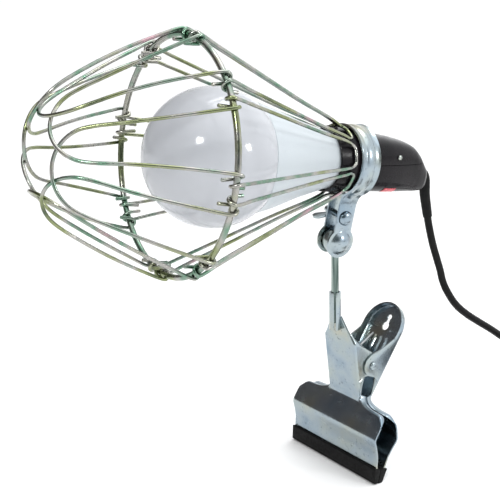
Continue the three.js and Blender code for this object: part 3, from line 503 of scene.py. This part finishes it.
def lathe(profile, segments):
    """Turns a closed or axis-to-axis profile of (radius, forward) about the lamp axis."""
    vertices = []
    rows = []
    for radius, forward in profile:
        if radius < 1e-6:
            rows.append([len(vertices)])
            vertices.append((0, -forward, 0))
            continue
        row = []
        for k in range(segments):
            a = 2 * pi * k / segments
            row.append(len(vertices))
            vertices.append((radius * sin(a), -forward, radius * cos(a)))
        rows.append(row)
    faces = []
    for low, high in zip(rows, rows[1:]):
        for k in range(segments):
            n = (k + 1) % segments
            corners = [low[k % len(low)], low[n % len(low)], high[n % len(high)], high[k % len(high)]]
            unique = list(dict.fromkeys(corners))
            if len(unique) > 2:
                faces.append(tuple(unique))
    return vertices, faces


def ease_edges(piece, width, segments, degrees):
    """Rounds the edges that are sharper than the angle."""
    bevel = piece.modifiers.new("edges", "BEVEL")
    bevel.width = width * MM
    bevel.segments = segments
    bevel.limit_method = "ANGLE"
    bevel.angle_limit = radians(degrees)
    return bevel


def refine(name):
    """Finish for a CAD node that stays in view: points joined, edges eased, its slot's material."""
    node = frame["nodes"][name]
    join = node.modifiers.new("weld", "WELD")
    join.merge_threshold = 1e-6
    ease_edges(node, 0.15, 2, SHARP).harden_normals = True
    smooth(node)
    node.data.materials.clear()
    node.data.materials.append(MATERIALS[SLOT_OF_NODE[name]])


# ---------------- cord and coil
def coil_points():
    """Two layers of four turns: inward on top, down at the middle, outward below, then off to the plug."""
    c = COIL
    points = []
    for turned in range(c["entry"] + c["step"], c["end"], c["step"]):
        radius = c["outer"]
        radius += (c["entry_radius"] - c["outer"]) * (1 - ramp_up((turned - c["entry"]) / -c["entry"]))
        radius -= c["pitch"] * sum(ramp_up((turned - start) / c["jog"]) for start in c["inward"])
        radius += c["pitch"] * sum(ramp_up((turned - start) / c["jog"]) for start in c["outward"])
        radius += (c["exit_radius"] - c["outer"]) * ramp_up((turned - c["leave"]) / c["leave_span"])
        height = c["high"] + (c["low"] - c["high"]) * ramp_up((turned - c["drop"]) / c["jog"])
        a = radians(c["zero"] - turned)
        points.append((c["x"] + radius * cos(a), c["y"] + radius * sin(a), height))
    return points


def add_cord():
    points = [Vector(p) * MM for p in [*CORD_ROUTE, *coil_points(), *TAIL_ROUTE]]
    data = bpy.data.curves.new("mains_cord", "CURVE")
    data.dimensions = "3D"
    data.bevel_depth = CORD["radius"] * MM
    data.bevel_resolution = 5
    data.resolution_u = 6
    data.use_fill_caps = True
    spline = data.splines.new("BEZIER")
    spline.bezier_points.add(len(points) - 1)
    for knot, point in zip(spline.bezier_points, points):
        knot.co = point
        knot.handle_left_type = "AUTO"
        knot.handle_right_type = "AUTO"
    cord = bpy.data.objects.new("mains_cord", data)
    bpy.context.scene.collection.objects.link(cord)
    data.materials.append(MATERIALS["cord_rubber"])
    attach(cord, "lamp_head")
    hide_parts("cord", "cord_coil", "cord_tail")


# ---------------- wire guard
FRONT_KNOTS = (0.25, 0.5, 0.75)  # shares of a front wire's straight part
REAR_KNOTS = (0.15, 0.45, 0.8)  # shares of the way from the ring to the collar
REAR_END = {"out": 5.5, "up": 14}  # where the straight part of a rear wire points to, past the collar
COLLAR_BEND = [(4.2, 0, 9), (0.8, 1, 2.4), (0, 6, 0)]  # (out, degrees inside the bend, up) from the collar


def polar(radius, degrees, forward):
    """Point in head coordinates, its angle counted from straight up."""
    return Vector((radius * sin(radians(degrees)), -forward, radius * cos(radians(degrees))))


def hook_points(degrees, side, drift):
    """A wire end bent round the ring: outside it, round its far side and back inside as a short tail."""
    g = GUARD
    r = g["ring_wire"] + g["wire"] + g["gap"]
    points = []
    for a in range(0, 181, 30):
        radial = g["ring_radius"] + r * cos(radians(a))
        points.append(polar(radial, degrees + drift * a / 180, g["ring"] - side * r * sin(radians(a))))
    inside = g["ring_radius"] - r - g["tail_dip"]
    return [*points, polar(inside, degrees + drift * 1.3, g["ring"] + side * g["tail"])]


def front_loop(centre):
    """A long loop over the bulb's end, hooked on the ring at both of its ends."""
    g = GUARD
    half = 360 / g["stations"] - g["front_offset"]
    start = g["ring_radius"] + g["ring_wire"] + g["wire"] + g["gap"]
    chord, reach = start * sin(radians(half)), start * cos(radians(half))
    length = hypot(g["nose_radius"] - reach, g["nose_depth"])
    turn = Matrix.Rotation(radians(centre), 3, "Y")

    def place(across, along):
        f = along / length
        lift = g["bow"] * 4 * f * (1 - f) + g["weave"] * f * across / g["u_turn"]
        radial = reach + (g["nose_radius"] - reach) * f + lift * g["nose_depth"] / length
        forward = g["ring"] + g["nose_depth"] * f + lift * (reach - g["nose_radius"]) / length
        return turn @ Vector((across, -forward, radial))

    u = g["u_turn"]
    hub = length - u
    tangent = atan2(-hub, chord) + acos(u / hypot(chord, hub))
    end_x, end_y = u * cos(tangent), hub + u * sin(tangent)
    side = [(chord + (end_x - chord) * f, end_y * f) for f in FRONT_KNOTS]
    for i in range(5):
        a = tangent + (pi / 2 - tangent) * i / 4
        side.append((u * cos(a), hub + u * sin(a)))
    right = [place(x, y) for x, y in side]
    left = [place(-x, y) for x, y in reversed(side[:-1])]
    first = hook_points(centre + half, 1, g["front_drift"])
    return [*reversed(first), *right, *left, *hook_points(centre - half, 1, -g["front_drift"])]


def rear_loop(centre):
    """A loop from the ring back to the socket, with a square bend under the clamp band."""
    g = GUARD
    half = 180 / g["stations"] - g["rear_offset"]
    start = g["ring_radius"] + g["ring_wire"] + g["wire"] + g["gap"]

    def leg(sign):
        points = []
        for f in REAR_KNOTS:
            degrees = centre + sign * (half + (g["collar_half"] - half) * f)
            forward = g["ring"] + (g["collar"] + REAR_END["up"] - g["ring"]) * f
            radius = start + (g["collar_radius"] + REAR_END["out"] - start) * f
            points.append(polar(radius, degrees, forward))
        return points

    def bend(sign):
        return [
            polar(g["collar_radius"] + out, centre + sign * (g["collar_half"] - inside), g["collar"] + up)
            for out, inside, up in COLLAR_BEND
        ]

    middle = polar(g["collar_radius"], centre, g["collar"])
    return [
        *reversed(hook_points(centre + half, -1, g["rear_drift"])), *leg(1), *bend(1), middle,
        *reversed(bend(-1)), *reversed(leg(-1)), *hook_points(centre - half, -1, -g["rear_drift"]),
    ]


def add_wire(name, points, node):
    wire = tube(curve_through(points, 6), GUARD["wire"], 12)
    add_piece(name, *wire, "guard_zinc", "lamp_head", (node,), HEAD_MATRIX)


def add_guard():
    g = GUARD
    sides = 14
    radius = g["ring_wire"] + g["ring_swell"]
    profile = []
    for i in range(sides + 1):
        a = 2 * pi * i / sides
        profile.append((g["ring_radius"] + radius * cos(a), g["ring"] + radius * sin(a)))
    ring = lathe(profile, 160)
    add_piece("ring_wire", *ring, "guard_zinc", "lamp_head", ("guard_ring",), HEAD_MATRIX)
    step = 360 / g["stations"]
    for k in range(g["stations"]):
        add_wire(f"front_wire_{k + 1}", front_loop(k * step), f"guard_front_loop_{k + 1}")
        add_wire(f"rear_wire_{k + 1}", rear_loop((k + 0.5) * step), f"guard_rear_loop_{k + 1}")


# ---------------- bulb
SEAM_RADIUS = sqrt(BULB["radius"] ** 2 - (BULB["seam"] - BULB["centre"]) ** 2)


def globe_arc(radius, steps):
    """Profile of the globe from just above its seam to its top."""
    start = asin((BULB["seam"] + BULB["seam_gap"] - BULB["centre"]) / radius)
    points = []
    for i in range(steps + 1):
        a = start + (pi / 2 - start) * i / steps
        points.append((0 if i == steps else radius * cos(a), BULB["centre"] + radius * sin(a)))
    return points


def add_bulb():
    profile = [*reversed(globe_arc(BULB["radius"], 40)), *globe_arc(BULB["radius"] - BULB["wall"], 24)]
    add_piece("bulb_dome", *lathe(profile, 128), "bulb_diffuser", "bulb", ("bulb_globe",), HEAD_MATRIX)
    neck, seam, wall, end = (BULB[k] for k in ("neck_radius", "seam", "shell_wall", "neck_end"))
    flare = [
        (neck, end + 2), (neck + 0.05, 20), (neck + 0.1, SOCKET_MOUTH + 1), (19.3, 30),
        (22.4, 42), (25.4, 51.5), (28.2, 60), (30, 66.5), (SEAM_RADIUS - 1.2, seam - 4),
    ]
    outside = [(p.x, p.y) for p in curve_through([(r, y, 0) for r, y in flare], 4)]
    lip = [(SEAM_RADIUS - 0.6, seam - 1.6), (SEAM_RADIUS - 0.05, seam - 0.5), (SEAM_RADIUS - 0.3, seam)]
    inside = [(r - wall, y) for r, y in reversed(outside)]
    profile = [
        (0, end), (neck - 1.2, end), *outside, *lip, (SEAM_RADIUS - wall, seam), *inside, (0, end + wall),
    ]
    add_piece("bulb_shell", *lathe(profile, 128), "bulb_housing", "bulb", ("bulb_housing",), HEAD_MATRIX)


# ---------------- sheet pieces
def thicken(piece, thickness, ease=0.12):
    """Gives a skin its sheet thickness, half on each side, and takes the sharpness off its edges."""
    sheet = piece.modifiers.new("sheet", "SOLIDIFY")
    sheet.thickness = thickness * MM
    sheet.offset = 0
    ease_edges(piece, ease, 2, 60)


def weld(piece):
    """Merges the points that meet, and turns all faces outward."""
    work = bmesh.new()
    work.from_mesh(piece.data)
    bmesh.ops.remove_doubles(work, verts=work.verts, dist=0.02 * MM)
    bmesh.ops.recalc_face_normals(work, faces=work.faces)
    work.to_mesh(piece.data)
    work.free()


def bake(piece):
    """Turns a piece's modifiers into its mesh."""
    depsgraph = bpy.context.evaluated_depsgraph_get()
    mesh = bpy.data.meshes.new_from_object(piece.evaluated_get(depsgraph))
    piece.modifiers.clear()
    piece.data = mesh
    smooth(piece)


def cut(piece, outline, depth, matrix):
    """Cuts a hole with the given (x, s) outline right through a sheet piece."""
    count = len(outline)
    vertices = [matrix @ Vector((x, t, s)) * MM for t in depth for x, s in outline]
    faces = [tuple(range(count)), tuple(reversed(range(count, 2 * count)))]
    faces += [(i, i + count, (i + 1) % count + count, (i + 1) % count) for i in range(count)]
    mesh = bpy.data.meshes.new("cutter")
    mesh.from_pydata(vertices, [], faces)
    cutter = bpy.data.objects.new("cutter", mesh)
    bpy.context.scene.collection.objects.link(cutter)
    weld(cutter)
    hole = piece.modifiers.new("hole", "BOOLEAN")
    hole.object = cutter
    hole.solver = "EXACT"
    bake(piece)
    bpy.data.objects.remove(cutter)


# ---------------- spring clip
# In the clip's own frame, x runs along the jaws, s goes up from the lips and t is the distance from its
# middle plane. The front plate is the rear one mirrored in t, with a handle that tapers to the rod.
CLIP = {
    "lean": 15, "sheet": 1.0, "jaw_half": 40, "corner": 9, "corner_start": 35, "hollow": 2.8,
    "hollow_rise": 5.5, "pivot": 70, "flange": 4.6, "flange_start": 48, "flange_end": 88,
    "bend": 1.3, "bend_reach": 1.6, "rear_half": 15.5, "rear_top": 106.5, "front_half": 14.1,
    "taper_start": 83, "taper_end": 99, "neck": 3.4, "rim_start": 77, "rim_rise": 14, "rim_loss": 0.88,
}
JAW_LINE = [(1.6, 1.8), (4.9, 18), (7.4, 23.5), (10.2, 28.5), (3.9, 46), (30, 112.95)]  # (t, s)
JAW_ROWS = (1.8, 6, 10, 14, 17, 18.5, 20, 21.5, 23, 24.5, 26, 27.5, 29, 30.5, 32, 34)
EAR_EDGE = [  # (t, s) down the free edge of a flange, round the ear that holds the pin
    (4, 50), (4.3, 58), (3.2, 63.6), (0, 62.9), (-4.4, 64.6),
    (-6.9, 69), (-6, 73.6), (-2, 77.4), (5, 81), (15, 88),
]
RIBS = {"places": (-5, 0, 5), "half": 2.2, "height": 0.9, "low": 75, "high": 86, "ease": 2}
PAD_OUTLINE = [(0.15, 0.6), (0.5, 0.1), (3.2, 0.1), (3.6, 0.5), (5.6, 9.6), (5.3, 10), (2.2, 10), (0.15, 9.4)]
SLEEVE = {"radius": 3.2, "low": 93, "high": 118, "seam": -42, "gap": 9}
SPRING = {"radius": 4.4, "turns": 5, "pitch": 2.3, "wire": 0.8, "steps": 24}
SPRING_ARM = [(17.7, 86.2), (12.6, 81.6), (7, 76.6), (4.8, 73)]
CLIP_MATRIX = Matrix.Rotation(radians(-CLIP["lean"]), 4, "X")


def sheet_t(s):
    """Distance of the sheet's middle from the clip's middle plane. Averaging rounds its bends."""
    total = 0
    for k in range(-4, 5):
        here = s + CLIP["bend_reach"] * k / 4
        line = next((pair for pair in zip(JAW_LINE, JAW_LINE[1:]) if here <= pair[1][1]), JAW_LINE[-2:])
        (t0, s0), (t1, s1) = line
        total += t0 + (t1 - t0) * (here - s0) / (s1 - s0)
    return total / 9


def sheet_normal(s):
    slope = (sheet_t(s + 0.3) - sheet_t(s - 0.3)) / 0.6
    return Vector((0, 1, -slope)).normalized()


def shoulder_half(s, handle):
    """Half width from the jaw's round corner down into the hollow where the handle starts."""
    c = CLIP
    start = c["corner_start"]
    low = start + c["corner"] - 0.5
    if s <= start:
        return c["jaw_half"]
    if s <= low:
        return c["jaw_half"] - c["corner"] + sqrt(c["corner"] ** 2 - (s - start) ** 2)
    f = min((s - low) / c["hollow_rise"], 1)
    return handle + (c["jaw_half"] - c["corner"] + c["hollow"] - handle) * (1 - sqrt(1 - (1 - f) ** 2))


def outline_of(name):
    """Right-hand outline of one plate as (half width, s), from the lip to the top."""
    c = CLIP
    handle = c["rear_half"] if name == "rear" else c["front_half"]
    shoulder = [c["corner_start"] + k * 0.5 for k in range(30)]
    points = [(c["jaw_half"], s) for s in JAW_ROWS]
    points += [(shoulder_half(s, handle), s) for s in shoulder]
    points += [(handle, s) for s in range(50, c["taper_start"])]
    if name == "rear":
        centre = c["rear_top"] - handle
        points += [(handle, s) for s in range(c["taper_start"], int(centre) + 1)]
        points += [(handle * cos(radians(a)), centre + handle * sin(radians(a))) for a in range(0, 91, 5)]
        return points
    taper = c["taper_end"] - c["taper_start"]
    points += [(handle + (c["neck"] - handle) * k / 16, c["taper_start"] + taper * k / 16) for k in range(17)]
    return points


def rib_height(name, x, s):
    """Three upright ribs pressed into the rear handle above the pivot."""
    if name == "front":
        return 0
    r = RIBS
    along = ramp_up((s - r["low"]) / r["ease"]) * ramp_up((r["high"] - s) / r["ease"])
    across = sum(max(0, 1 - (abs(x - middle) / r["half"]) ** 2) for middle in r["places"])
    return -r["height"] * along * across


def flange_edge(s, edge, corner):
    """Free edge of the side flange at height s: round the ear by the pin, and level elsewhere."""
    c = CLIP
    if s < c["flange_start"] or s > c["flange_end"]:
        return corner - sheet_normal(s) * c["flange"] * ramp_up((s - c["corner_start"] - 2) / 9)
    f = (s - c["flange_start"]) / (c["flange_end"] - c["flange_start"])
    point = edge[int(round(f * (len(edge) - 1)))]
    return Vector((corner.x, point.x, point.y))


def flange_side(corner, free, out, inward, half):
    """Section of the flange: a round bend off the sheet at the corner, then straight to the free edge."""
    bend = min(CLIP["bend"], (free - corner).length, half)
    side = []
    for k in range(5):
        a = pi / 8 * k
        side.append(corner - out * bend * (1 - sin(a)) + inward * bend * (1 - cos(a)))
    return side + [side[-1].lerp(free, f) for f in (0.5, 1)]


def clip_plate(name, body, node):
    """One pressed plate: jaw, shoulder and handle in one sheet, with flanges down both sides."""
    c = CLIP
    mirror = 1 if name == "rear" else -1
    outline = outline_of(name)
    edge = curve_through([(t, s, 0) for t, s in EAR_EDGE], 12)
    across = [-1 + k / 20 for k in range(41)]
    vertices = []
    for i, (half, s) in enumerate(outline):
        (w0, s0), (w1, s1) = outline[max(i - 1, 0)], outline[min(i + 1, len(outline) - 1)]
        rise = (sheet_t(s1) - sheet_t(s0)) / max(s1 - s0, 1e-3)
        along = Vector((w1 - w0, (s1 - s0) * rise, s1 - s0))
        out = along.cross(sheet_normal(s)).normalized()
        out = out if out.x > 0 or out.z > 0.5 else -out
        corner = Vector((half, sheet_t(s), s))
        free = flange_edge(s, edge, corner)
        if name == "front":
            free = free.lerp(corner, c["rim_loss"] * ramp_up((s - c["rim_start"]) / c["rim_rise"]))
        side = flange_side(corner, free, out, -sheet_normal(s), half)
        start = side[0]
        face = []
        for u in across:
            x, z = start.x * u, s + (start.z - s) * abs(u)
            face.append(Vector((x, sheet_t(z) + rib_height(name, x, z), z)))
        left = [Vector((-p.x, p.y, p.z)) for p in reversed(side[1:])]
        row = [*left, *face, *side[1:]]
        vertices += [(p.x, p.y * mirror, p.z) for p in row]
    faces = grid_faces(len(outline), len(row))
    plate = add_piece(f"{name}_plate", vertices, faces, "zinc_plate", body, (node,), CLIP_MATRIX)
    weld(plate)
    thicken(plate, c["sheet"])
    bake(plate)
    return plate


def keyhole():
    """Outline of the hanging hole: a round hole with a narrower round end above it."""
    points = []
    for centre, radius, angles in ((92.5, 2.7, range(125, 416, 15)), (98.5, 1.8, range(-50, 231, 20))):
        points += [(radius * cos(radians(a)), centre + radius * sin(radians(a))) for a in angles]
    return points


def jaw_pad(name, mirror, body, node):
    """Rubber strip moulded over the lip of one jaw, closed at both ends."""
    half = CLIP["jaw_half"] + 0.6
    count = len(PAD_OUTLINE)
    vertices = [(x, t * mirror, s) for x in (-half, -half + 0.5, half - 0.5, half) for t, s in PAD_OUTLINE]
    faces = [tuple(range(count)), tuple(range(3 * count, 4 * count)), *ring_faces(4, count)]
    pad = add_piece(name, vertices, faces, "black_rubber", body, (node,), CLIP_MATRIX)
    weld(pad)
    ease_edges(pad, 0.3, 3, SHARP)
    bake(pad)


def sleeve():
    """End of the front plate rolled round the rod, with its open seam turned to the front right."""
    around = 48
    heights = (SLEEVE["low"], SLEEVE["low"] + 8, SLEEVE["high"] - 6, SLEEVE["high"])
    start = SLEEVE["seam"] + SLEEVE["gap"]
    vertices = []
    for z in heights:
        for k in range(around + 1):
            a = radians(start + (360 - 2 * SLEEVE["gap"]) * k / around)
            vertices.append((SLEEVE["radius"] * cos(a), SLEEVE["radius"] * sin(a), z))
    faces = grid_faces(len(heights), around + 1)
    piece = add_piece("rod_sleeve", vertices, faces, "zinc_plate", "clip_frame")
    thicken(piece, CLIP["sheet"])
    bake(piece)


def add_spring():
    """Torsion spring round the pin. Its rear arm is a piece of its own, because it swings with the handle."""
    radius, pitch, steps = (SPRING[k] for k in ("radius", "pitch", "steps"))
    start = -SPRING["turns"] * pitch / 2
    coil = []
    for i in range(int((SPRING["turns"] + 0.5) * steps) + 1):
        a = 2 * pi * i / steps
        coil.append(Vector((start + pitch * i / steps, radius * cos(a), CLIP["pivot"] - radius * sin(a))))
    front = [Vector((coil[-1].x, -t, s)) for t, s in reversed(SPRING_ARM)]
    rear = [Vector((start, t, s)) for t, s in SPRING_ARM]
    wire = tube([*coil, *curve_through(front, 5)], SPRING["wire"], 12)
    add_piece("spring_coil", *wire, "spring_steel", "clip_frame", ("clip_spring",), CLIP_MATRIX)
    wire = tube(curve_through([*rear, coil[0]], 5), SPRING["wire"], 12)
    add_piece("spring_rear_arm", *wire, "spring_steel", "rear_lever", (), CLIP_MATRIX)


def add_clip():
    rear = clip_plate("rear", "rear_lever", "clip_rear_jaw")
    cut(rear, keyhole(), (10, 60), CLIP_MATRIX)
    clip_plate("front", "clip_frame", "clip_front_jaw")
    sleeve()
    jaw_pad("front_pad", -1, "clip_frame", "front_jaw_pad")
    jaw_pad("rear_pad", 1, "rear_lever", "rear_jaw_pad")
    add_spring()


# ---------------- rod, ball and clamp
BALL_RADIUS = 8
ROD = {"radius": 2.45, "heights": (97.5, 110, 130, 148.5)}
BAND = {
    "radius": 20.5, "front": -8.4, "rear": 5.2, "leg": 5.2, "leg_half": 6.2, "leg_start": 16, "leg_rise": 10,
    "disc": 9.6, "fillet": 13, "dish": 8.9, "sheet": 1.15, "lip": 0.9, "bead": 0.75, "bead_half": 0.45,
}
BOLT = {"drop": 35.2, "seat": 0.9}
BOLT_PROFILE = [  # (radius, distance outward from the face of the near leg), then its far end
    (0, 2.6), (1.6, 2.45), (2.9, 2), (3.9, 1.3), (4.5, 0.5), (4.6, 0), (2, 0),
]
BOLT_END = [(2, -13.8), (1.7, -14.1), (0, -14.1)]


def add_rod_and_ball():
    bar = tube([Vector((0, 0, z)) for z in ROD["heights"]], ROD["radius"], 32)
    rod = add_piece("rod", *bar, "zinc_plate", "clip_frame", ("stem_rod",))
    rod.data.materials[0] = MATERIALS["zinc_rod"]
    steps = 32
    profile = []
    for k in range(steps + 1):
        a = radians(-90 + 180 * k / steps)
        profile.append((0 if k in (0, steps) else BALL_RADIUS * cos(a), BALL_RADIUS * sin(a)))
    turn = Matrix.Translation((0, 0, BALL_HEIGHT)) @ Matrix.Rotation(radians(90), 4, "X")
    add_piece("ball_joint", *lathe(profile, 64), "zinc_plate", "ball", ("swivel_ball",), turn)


def strap_line():
    """Middle line of the clamp strap in (x, z): up one leg, round the socket and down the other."""
    b = BAND
    reach = b["radius"] + b["fillet"]
    hub_x = b["leg"] + b["fillet"]
    hub_z = -sqrt(reach ** 2 - hub_x ** 2)
    touch = atan2(hub_z, hub_x)
    side = [(b["radius"] * cos(a), b["radius"] * sin(a))
            for a in (pi / 2 + (touch - pi / 2) * k / 40 for k in range(41))]
    for k in range(1, 13):
        a = touch + pi + (pi - (touch + pi)) * k / 12
        side.append((hub_x + b["fillet"] * cos(a), hub_z + b["fillet"] * sin(a)))
    bottom = -HEAD["drop"] - b["disc"]
    steps = 44
    side += [(b["leg"], hub_z + (bottom - hub_z) * sin(pi / 2 * k / steps)) for k in range(1, steps + 1)]
    return [*[(-x, z) for x, z in reversed(side[1:])], *side]


def share_of_leg(z):
    """0 on the band round the socket, 1 on the straight legs, and smooth between them."""
    return ramp_up((-z - BAND["leg_start"]) / BAND["leg_rise"])


def strap_edges(z):
    """Front and rear edge of the strap at one height."""
    b = BAND
    on_leg = share_of_leg(z)
    below = z + HEAD["drop"]
    half = b["leg_half"]
    if abs(below) < b["disc"]:
        half = max(half if below > 0 else 0, sqrt(b["disc"] ** 2 - below ** 2))
    elif below < 0:
        half = 0
    return b["front"] + (-half - b["front"]) * on_leg, b["rear"] + (half - b["rear"]) * on_leg


def add_clamp():
    """The strap, with a lip at both edges, a bead round its middle and a dish over the ball, and its bolt."""
    b = BAND
    line = strap_line()
    columns = 27
    vertices = []
    for i, (x, z) in enumerate(line):
        (x0, z0), (x1, z1) = line[max(i - 1, 0)], line[min(i + 1, len(line) - 1)]
        out = Vector((-(z1 - z0), 0, x1 - x0)).normalized()
        front, rear = strap_edges(z)
        for k in range(columns):
            u = -1 + 2 * k / (columns - 1)
            y = front + (rear - front) * (u + 1) / 2
            lift = b["lip"] * abs(u) ** 5 + b["bead"] * max(0, 1 - (u / b["bead_half"]) ** 2)
            point = Vector((x, y, z)) + out * lift * (1 - share_of_leg(z))
            from_ball = hypot(y, z + HEAD["drop"])
            if from_ball < b["dish"]:
                bulge = sqrt(b["dish"] ** 2 - from_ball ** 2)
                point.x = max(abs(x), bulge) * (1 if x > 0 else -1)
            vertices.append(point)
    faces = grid_faces(len(line), columns)
    strap = add_piece("clamp_strap", vertices, faces, "zinc_plate", "lamp_head", ("clamp_band",), HEAD_MATRIX)
    weld(strap)
    thicken(strap, b["sheet"])
    bake(strap)
    face = b["leg"] + BOLT["seat"]
    profile = [(r, face + out) for r, out in BOLT_PROFILE] + BOLT_END
    bolt = lathe([(r, -x) for r, x in profile], 48)
    turn = HEAD_MATRIX @ Matrix.Translation((0, 0, -BOLT["drop"])) @ Matrix.Rotation(radians(-90), 4, "Z")
    add_piece("pinch_bolt", *bolt, "zinc_plate", "lamp_head", ("clamp_bolt",), turn)


# ---------------- socket and rear cover
def add_socket():
    """Black socket: a flared mouth with a rounded lip, a straight barrel and a step at the back."""
    profile = [
        (17.6, 21.3), (17.9, 21.8), (18.5, 21.8), (18.9, 21.4), (19, 20), (19.2, 15.5), (19.5, 12.5),
        (19.5, 11), (19.5, -4.3), (19.2, -4.6), (15, -4.6), (15, -11), (14.9, -11.1), (3.2, -11.1),
        (3.2, -8.5), (14.1, -8.5), (14.1, 12.4), (17.6, 13.4), (17.6, 21.3),
    ]
    socket = lathe(profile, 96)
    add_piece("socket_shell", *socket, "black_plastic", "lamp_head", ("socket_body",), HEAD_MATRIX)


COVER_SPLIT = 1.6
COVER_SQUARENESS = 2.8
COVER_GAP = 0.15
COVER_WALL = 1.5
COVER_LIP = 0.35
COVER_END = {"height": -6.9, "rings": ((0.75, 0.4), (0.4, 0.6), (0.02, 0.6))}  # rings: share of size, push
STICKER = {"front": 17, "rear": 29.5, "start": -63, "sweep": 24, "lift": 0.16, "thickness": 0.1}
COVER_SECTIONS = [  # y, half width, top and bottom height
    (4.9, 17.4, 17.2, -18), (18.6, 16.6, 15.9, -18.2), (29, 15.3, 14.5, -18.4), (37, 13.9, 12.9, -18.5),
    (43, 12.8, 10.7, -18.5), (47.5, 11.9, 7.4, -18.5), (51, 11, 3.6, -18.4), (54, 10, 0.2, -18.1),
    (56, 8.8, -1.4, -17.4),
]


def cover_sections():
    """The sections, with smooth ones between them."""
    sizes = curve_through([section[1:] for section in COVER_SECTIONS], 5)
    places = curve_through([(section[0], 0, 0) for section in COVER_SECTIONS], 5)
    return [(place.x, size.x, size.y, size.z) for place, size in zip(places, sizes)]


def cover_point(section, angle, grow=0.0):
    """Point of a squarish oval section, or just outside it."""
    y, half, top, bottom = section
    power = 2 / COVER_SQUARENESS
    c, s = cos(angle), sin(angle)
    x = (half + grow) * (1 if c > 0 else -1) * abs(c) ** power
    z = (top + bottom) / 2 + ((top - bottom) / 2 + grow) * (1 if s > 0 else -1) * abs(s) ** power
    return Vector((x, y, z))


def split_angle(section):
    """Angle on the +X side where a section meets the split between the two halves."""
    top, bottom = section[2:]
    rise = (COVER_SPLIT - (top + bottom) / 2) / ((top - bottom) / 2)
    return asin(min(max(rise, 0), 0.999) ** (COVER_SQUARENESS / 2))


def cover_half(name, upper, node):
    """Shell over or under the split, closed at the back by rings that shrink on the middle."""
    around = 48
    vertices = []
    sections = [s for s in cover_sections() if not upper or s[2] > COVER_SPLIT + 1.2]
    for section in sections:
        seam = split_angle(section)
        first, last = (seam, pi - seam) if upper else (pi - seam, 2 * pi + seam)
        row = [cover_point(section, first + (last - first) * k / around) for k in range(around + 1)]
        edge = COVER_SPLIT + (COVER_GAP if upper else -COVER_GAP)
        for p in row:
            p.z = max(p.z, edge) if upper else min(p.z, edge)
        vertices += row
    last_y = sections[-1][0]
    middle = COVER_SPLIT if upper else COVER_END["height"]
    row = vertices[-(around + 1):]
    for f, push in COVER_END["rings"]:
        vertices += [Vector((p.x * f, last_y + push, middle + (p.z - middle) * f)) for p in row]
    faces = grid_faces(len(vertices) // (around + 1), around + 1)
    half = add_piece(name, vertices, faces, "black_plastic", "lamp_head", (node,), HEAD_MATRIX)
    weld(half)
    wall = half.modifiers.new("wall", "SOLIDIFY")
    wall.thickness = COVER_WALL * MM
    wall.offset = -1
    ease_edges(half, COVER_LIP, 3, 50)
    bake(half)


def add_sticker():
    """Small plain red sticker, curved over the lower cover's near side."""
    across = 12
    near = [section for section in cover_sections() if STICKER["front"] <= section[0] <= STICKER["rear"]]
    vertices = []
    for section in near:
        for k in range(across + 1):
            angle = radians(STICKER["start"] + STICKER["sweep"] * k / across)
            vertices.append(cover_point(section, angle, STICKER["lift"]))
    faces = grid_faces(len(near), across + 1)
    label = add_piece("red_sticker", vertices, faces, "red_sticker", "lamp_head", (), HEAD_MATRIX)
    thicken(label, STICKER["thickness"], 0.02)
    bake(label)


RELIEF_LINE = [
    (0, 51, -6.6), (0, 56.4, -6.9), (0, 60, -8.2), (0, 62.6, -11.2),
    (0, 64.3, -15.5), (0, 66.4, -22), (0, 70, -30), (0, 73.2, -36.9),
]
RELIEF_RADII = (4.1, 3.0)


def add_relief():
    """Moulded strain relief that bends down out of the cover and tapers to the cord."""
    sides = 32
    wide, narrow = RELIEF_RADII
    vertices, faces = tube(curve_through(RELIEF_LINE, 8), 1, sides, 0.05)
    rings = len(vertices) // sides
    shaped = []
    for i in range(rings):
        ring = vertices[i * sides:(i + 1) * sides]
        centre = sum(ring, Vector()) / sides
        radius = wide + (narrow - wide) * i / (rings - 1)
        if i in (0, rings - 1):
            radius *= 0.93
        shaped += [centre + (p - centre).normalized() * radius for p in ring]
    add_piece("cord_relief", shaped, faces, "black_rubber", "lamp_head", ("strain_relief",), HEAD_MATRIX)


# ---------------- build
add_camera()
add_cord()
add_studio()
add_guard()
add_bulb()
add_clip()
add_rod_and_ball()
add_clamp()
add_socket()
cover_half("cover_top", True, "rear_cover_upper")
cover_half("cover_base", False, "rear_cover_lower")
add_sticker()
add_relief()

for name in sorted(name for name, node in frame["nodes"].items() if not node.hide_render):
    refine(name)
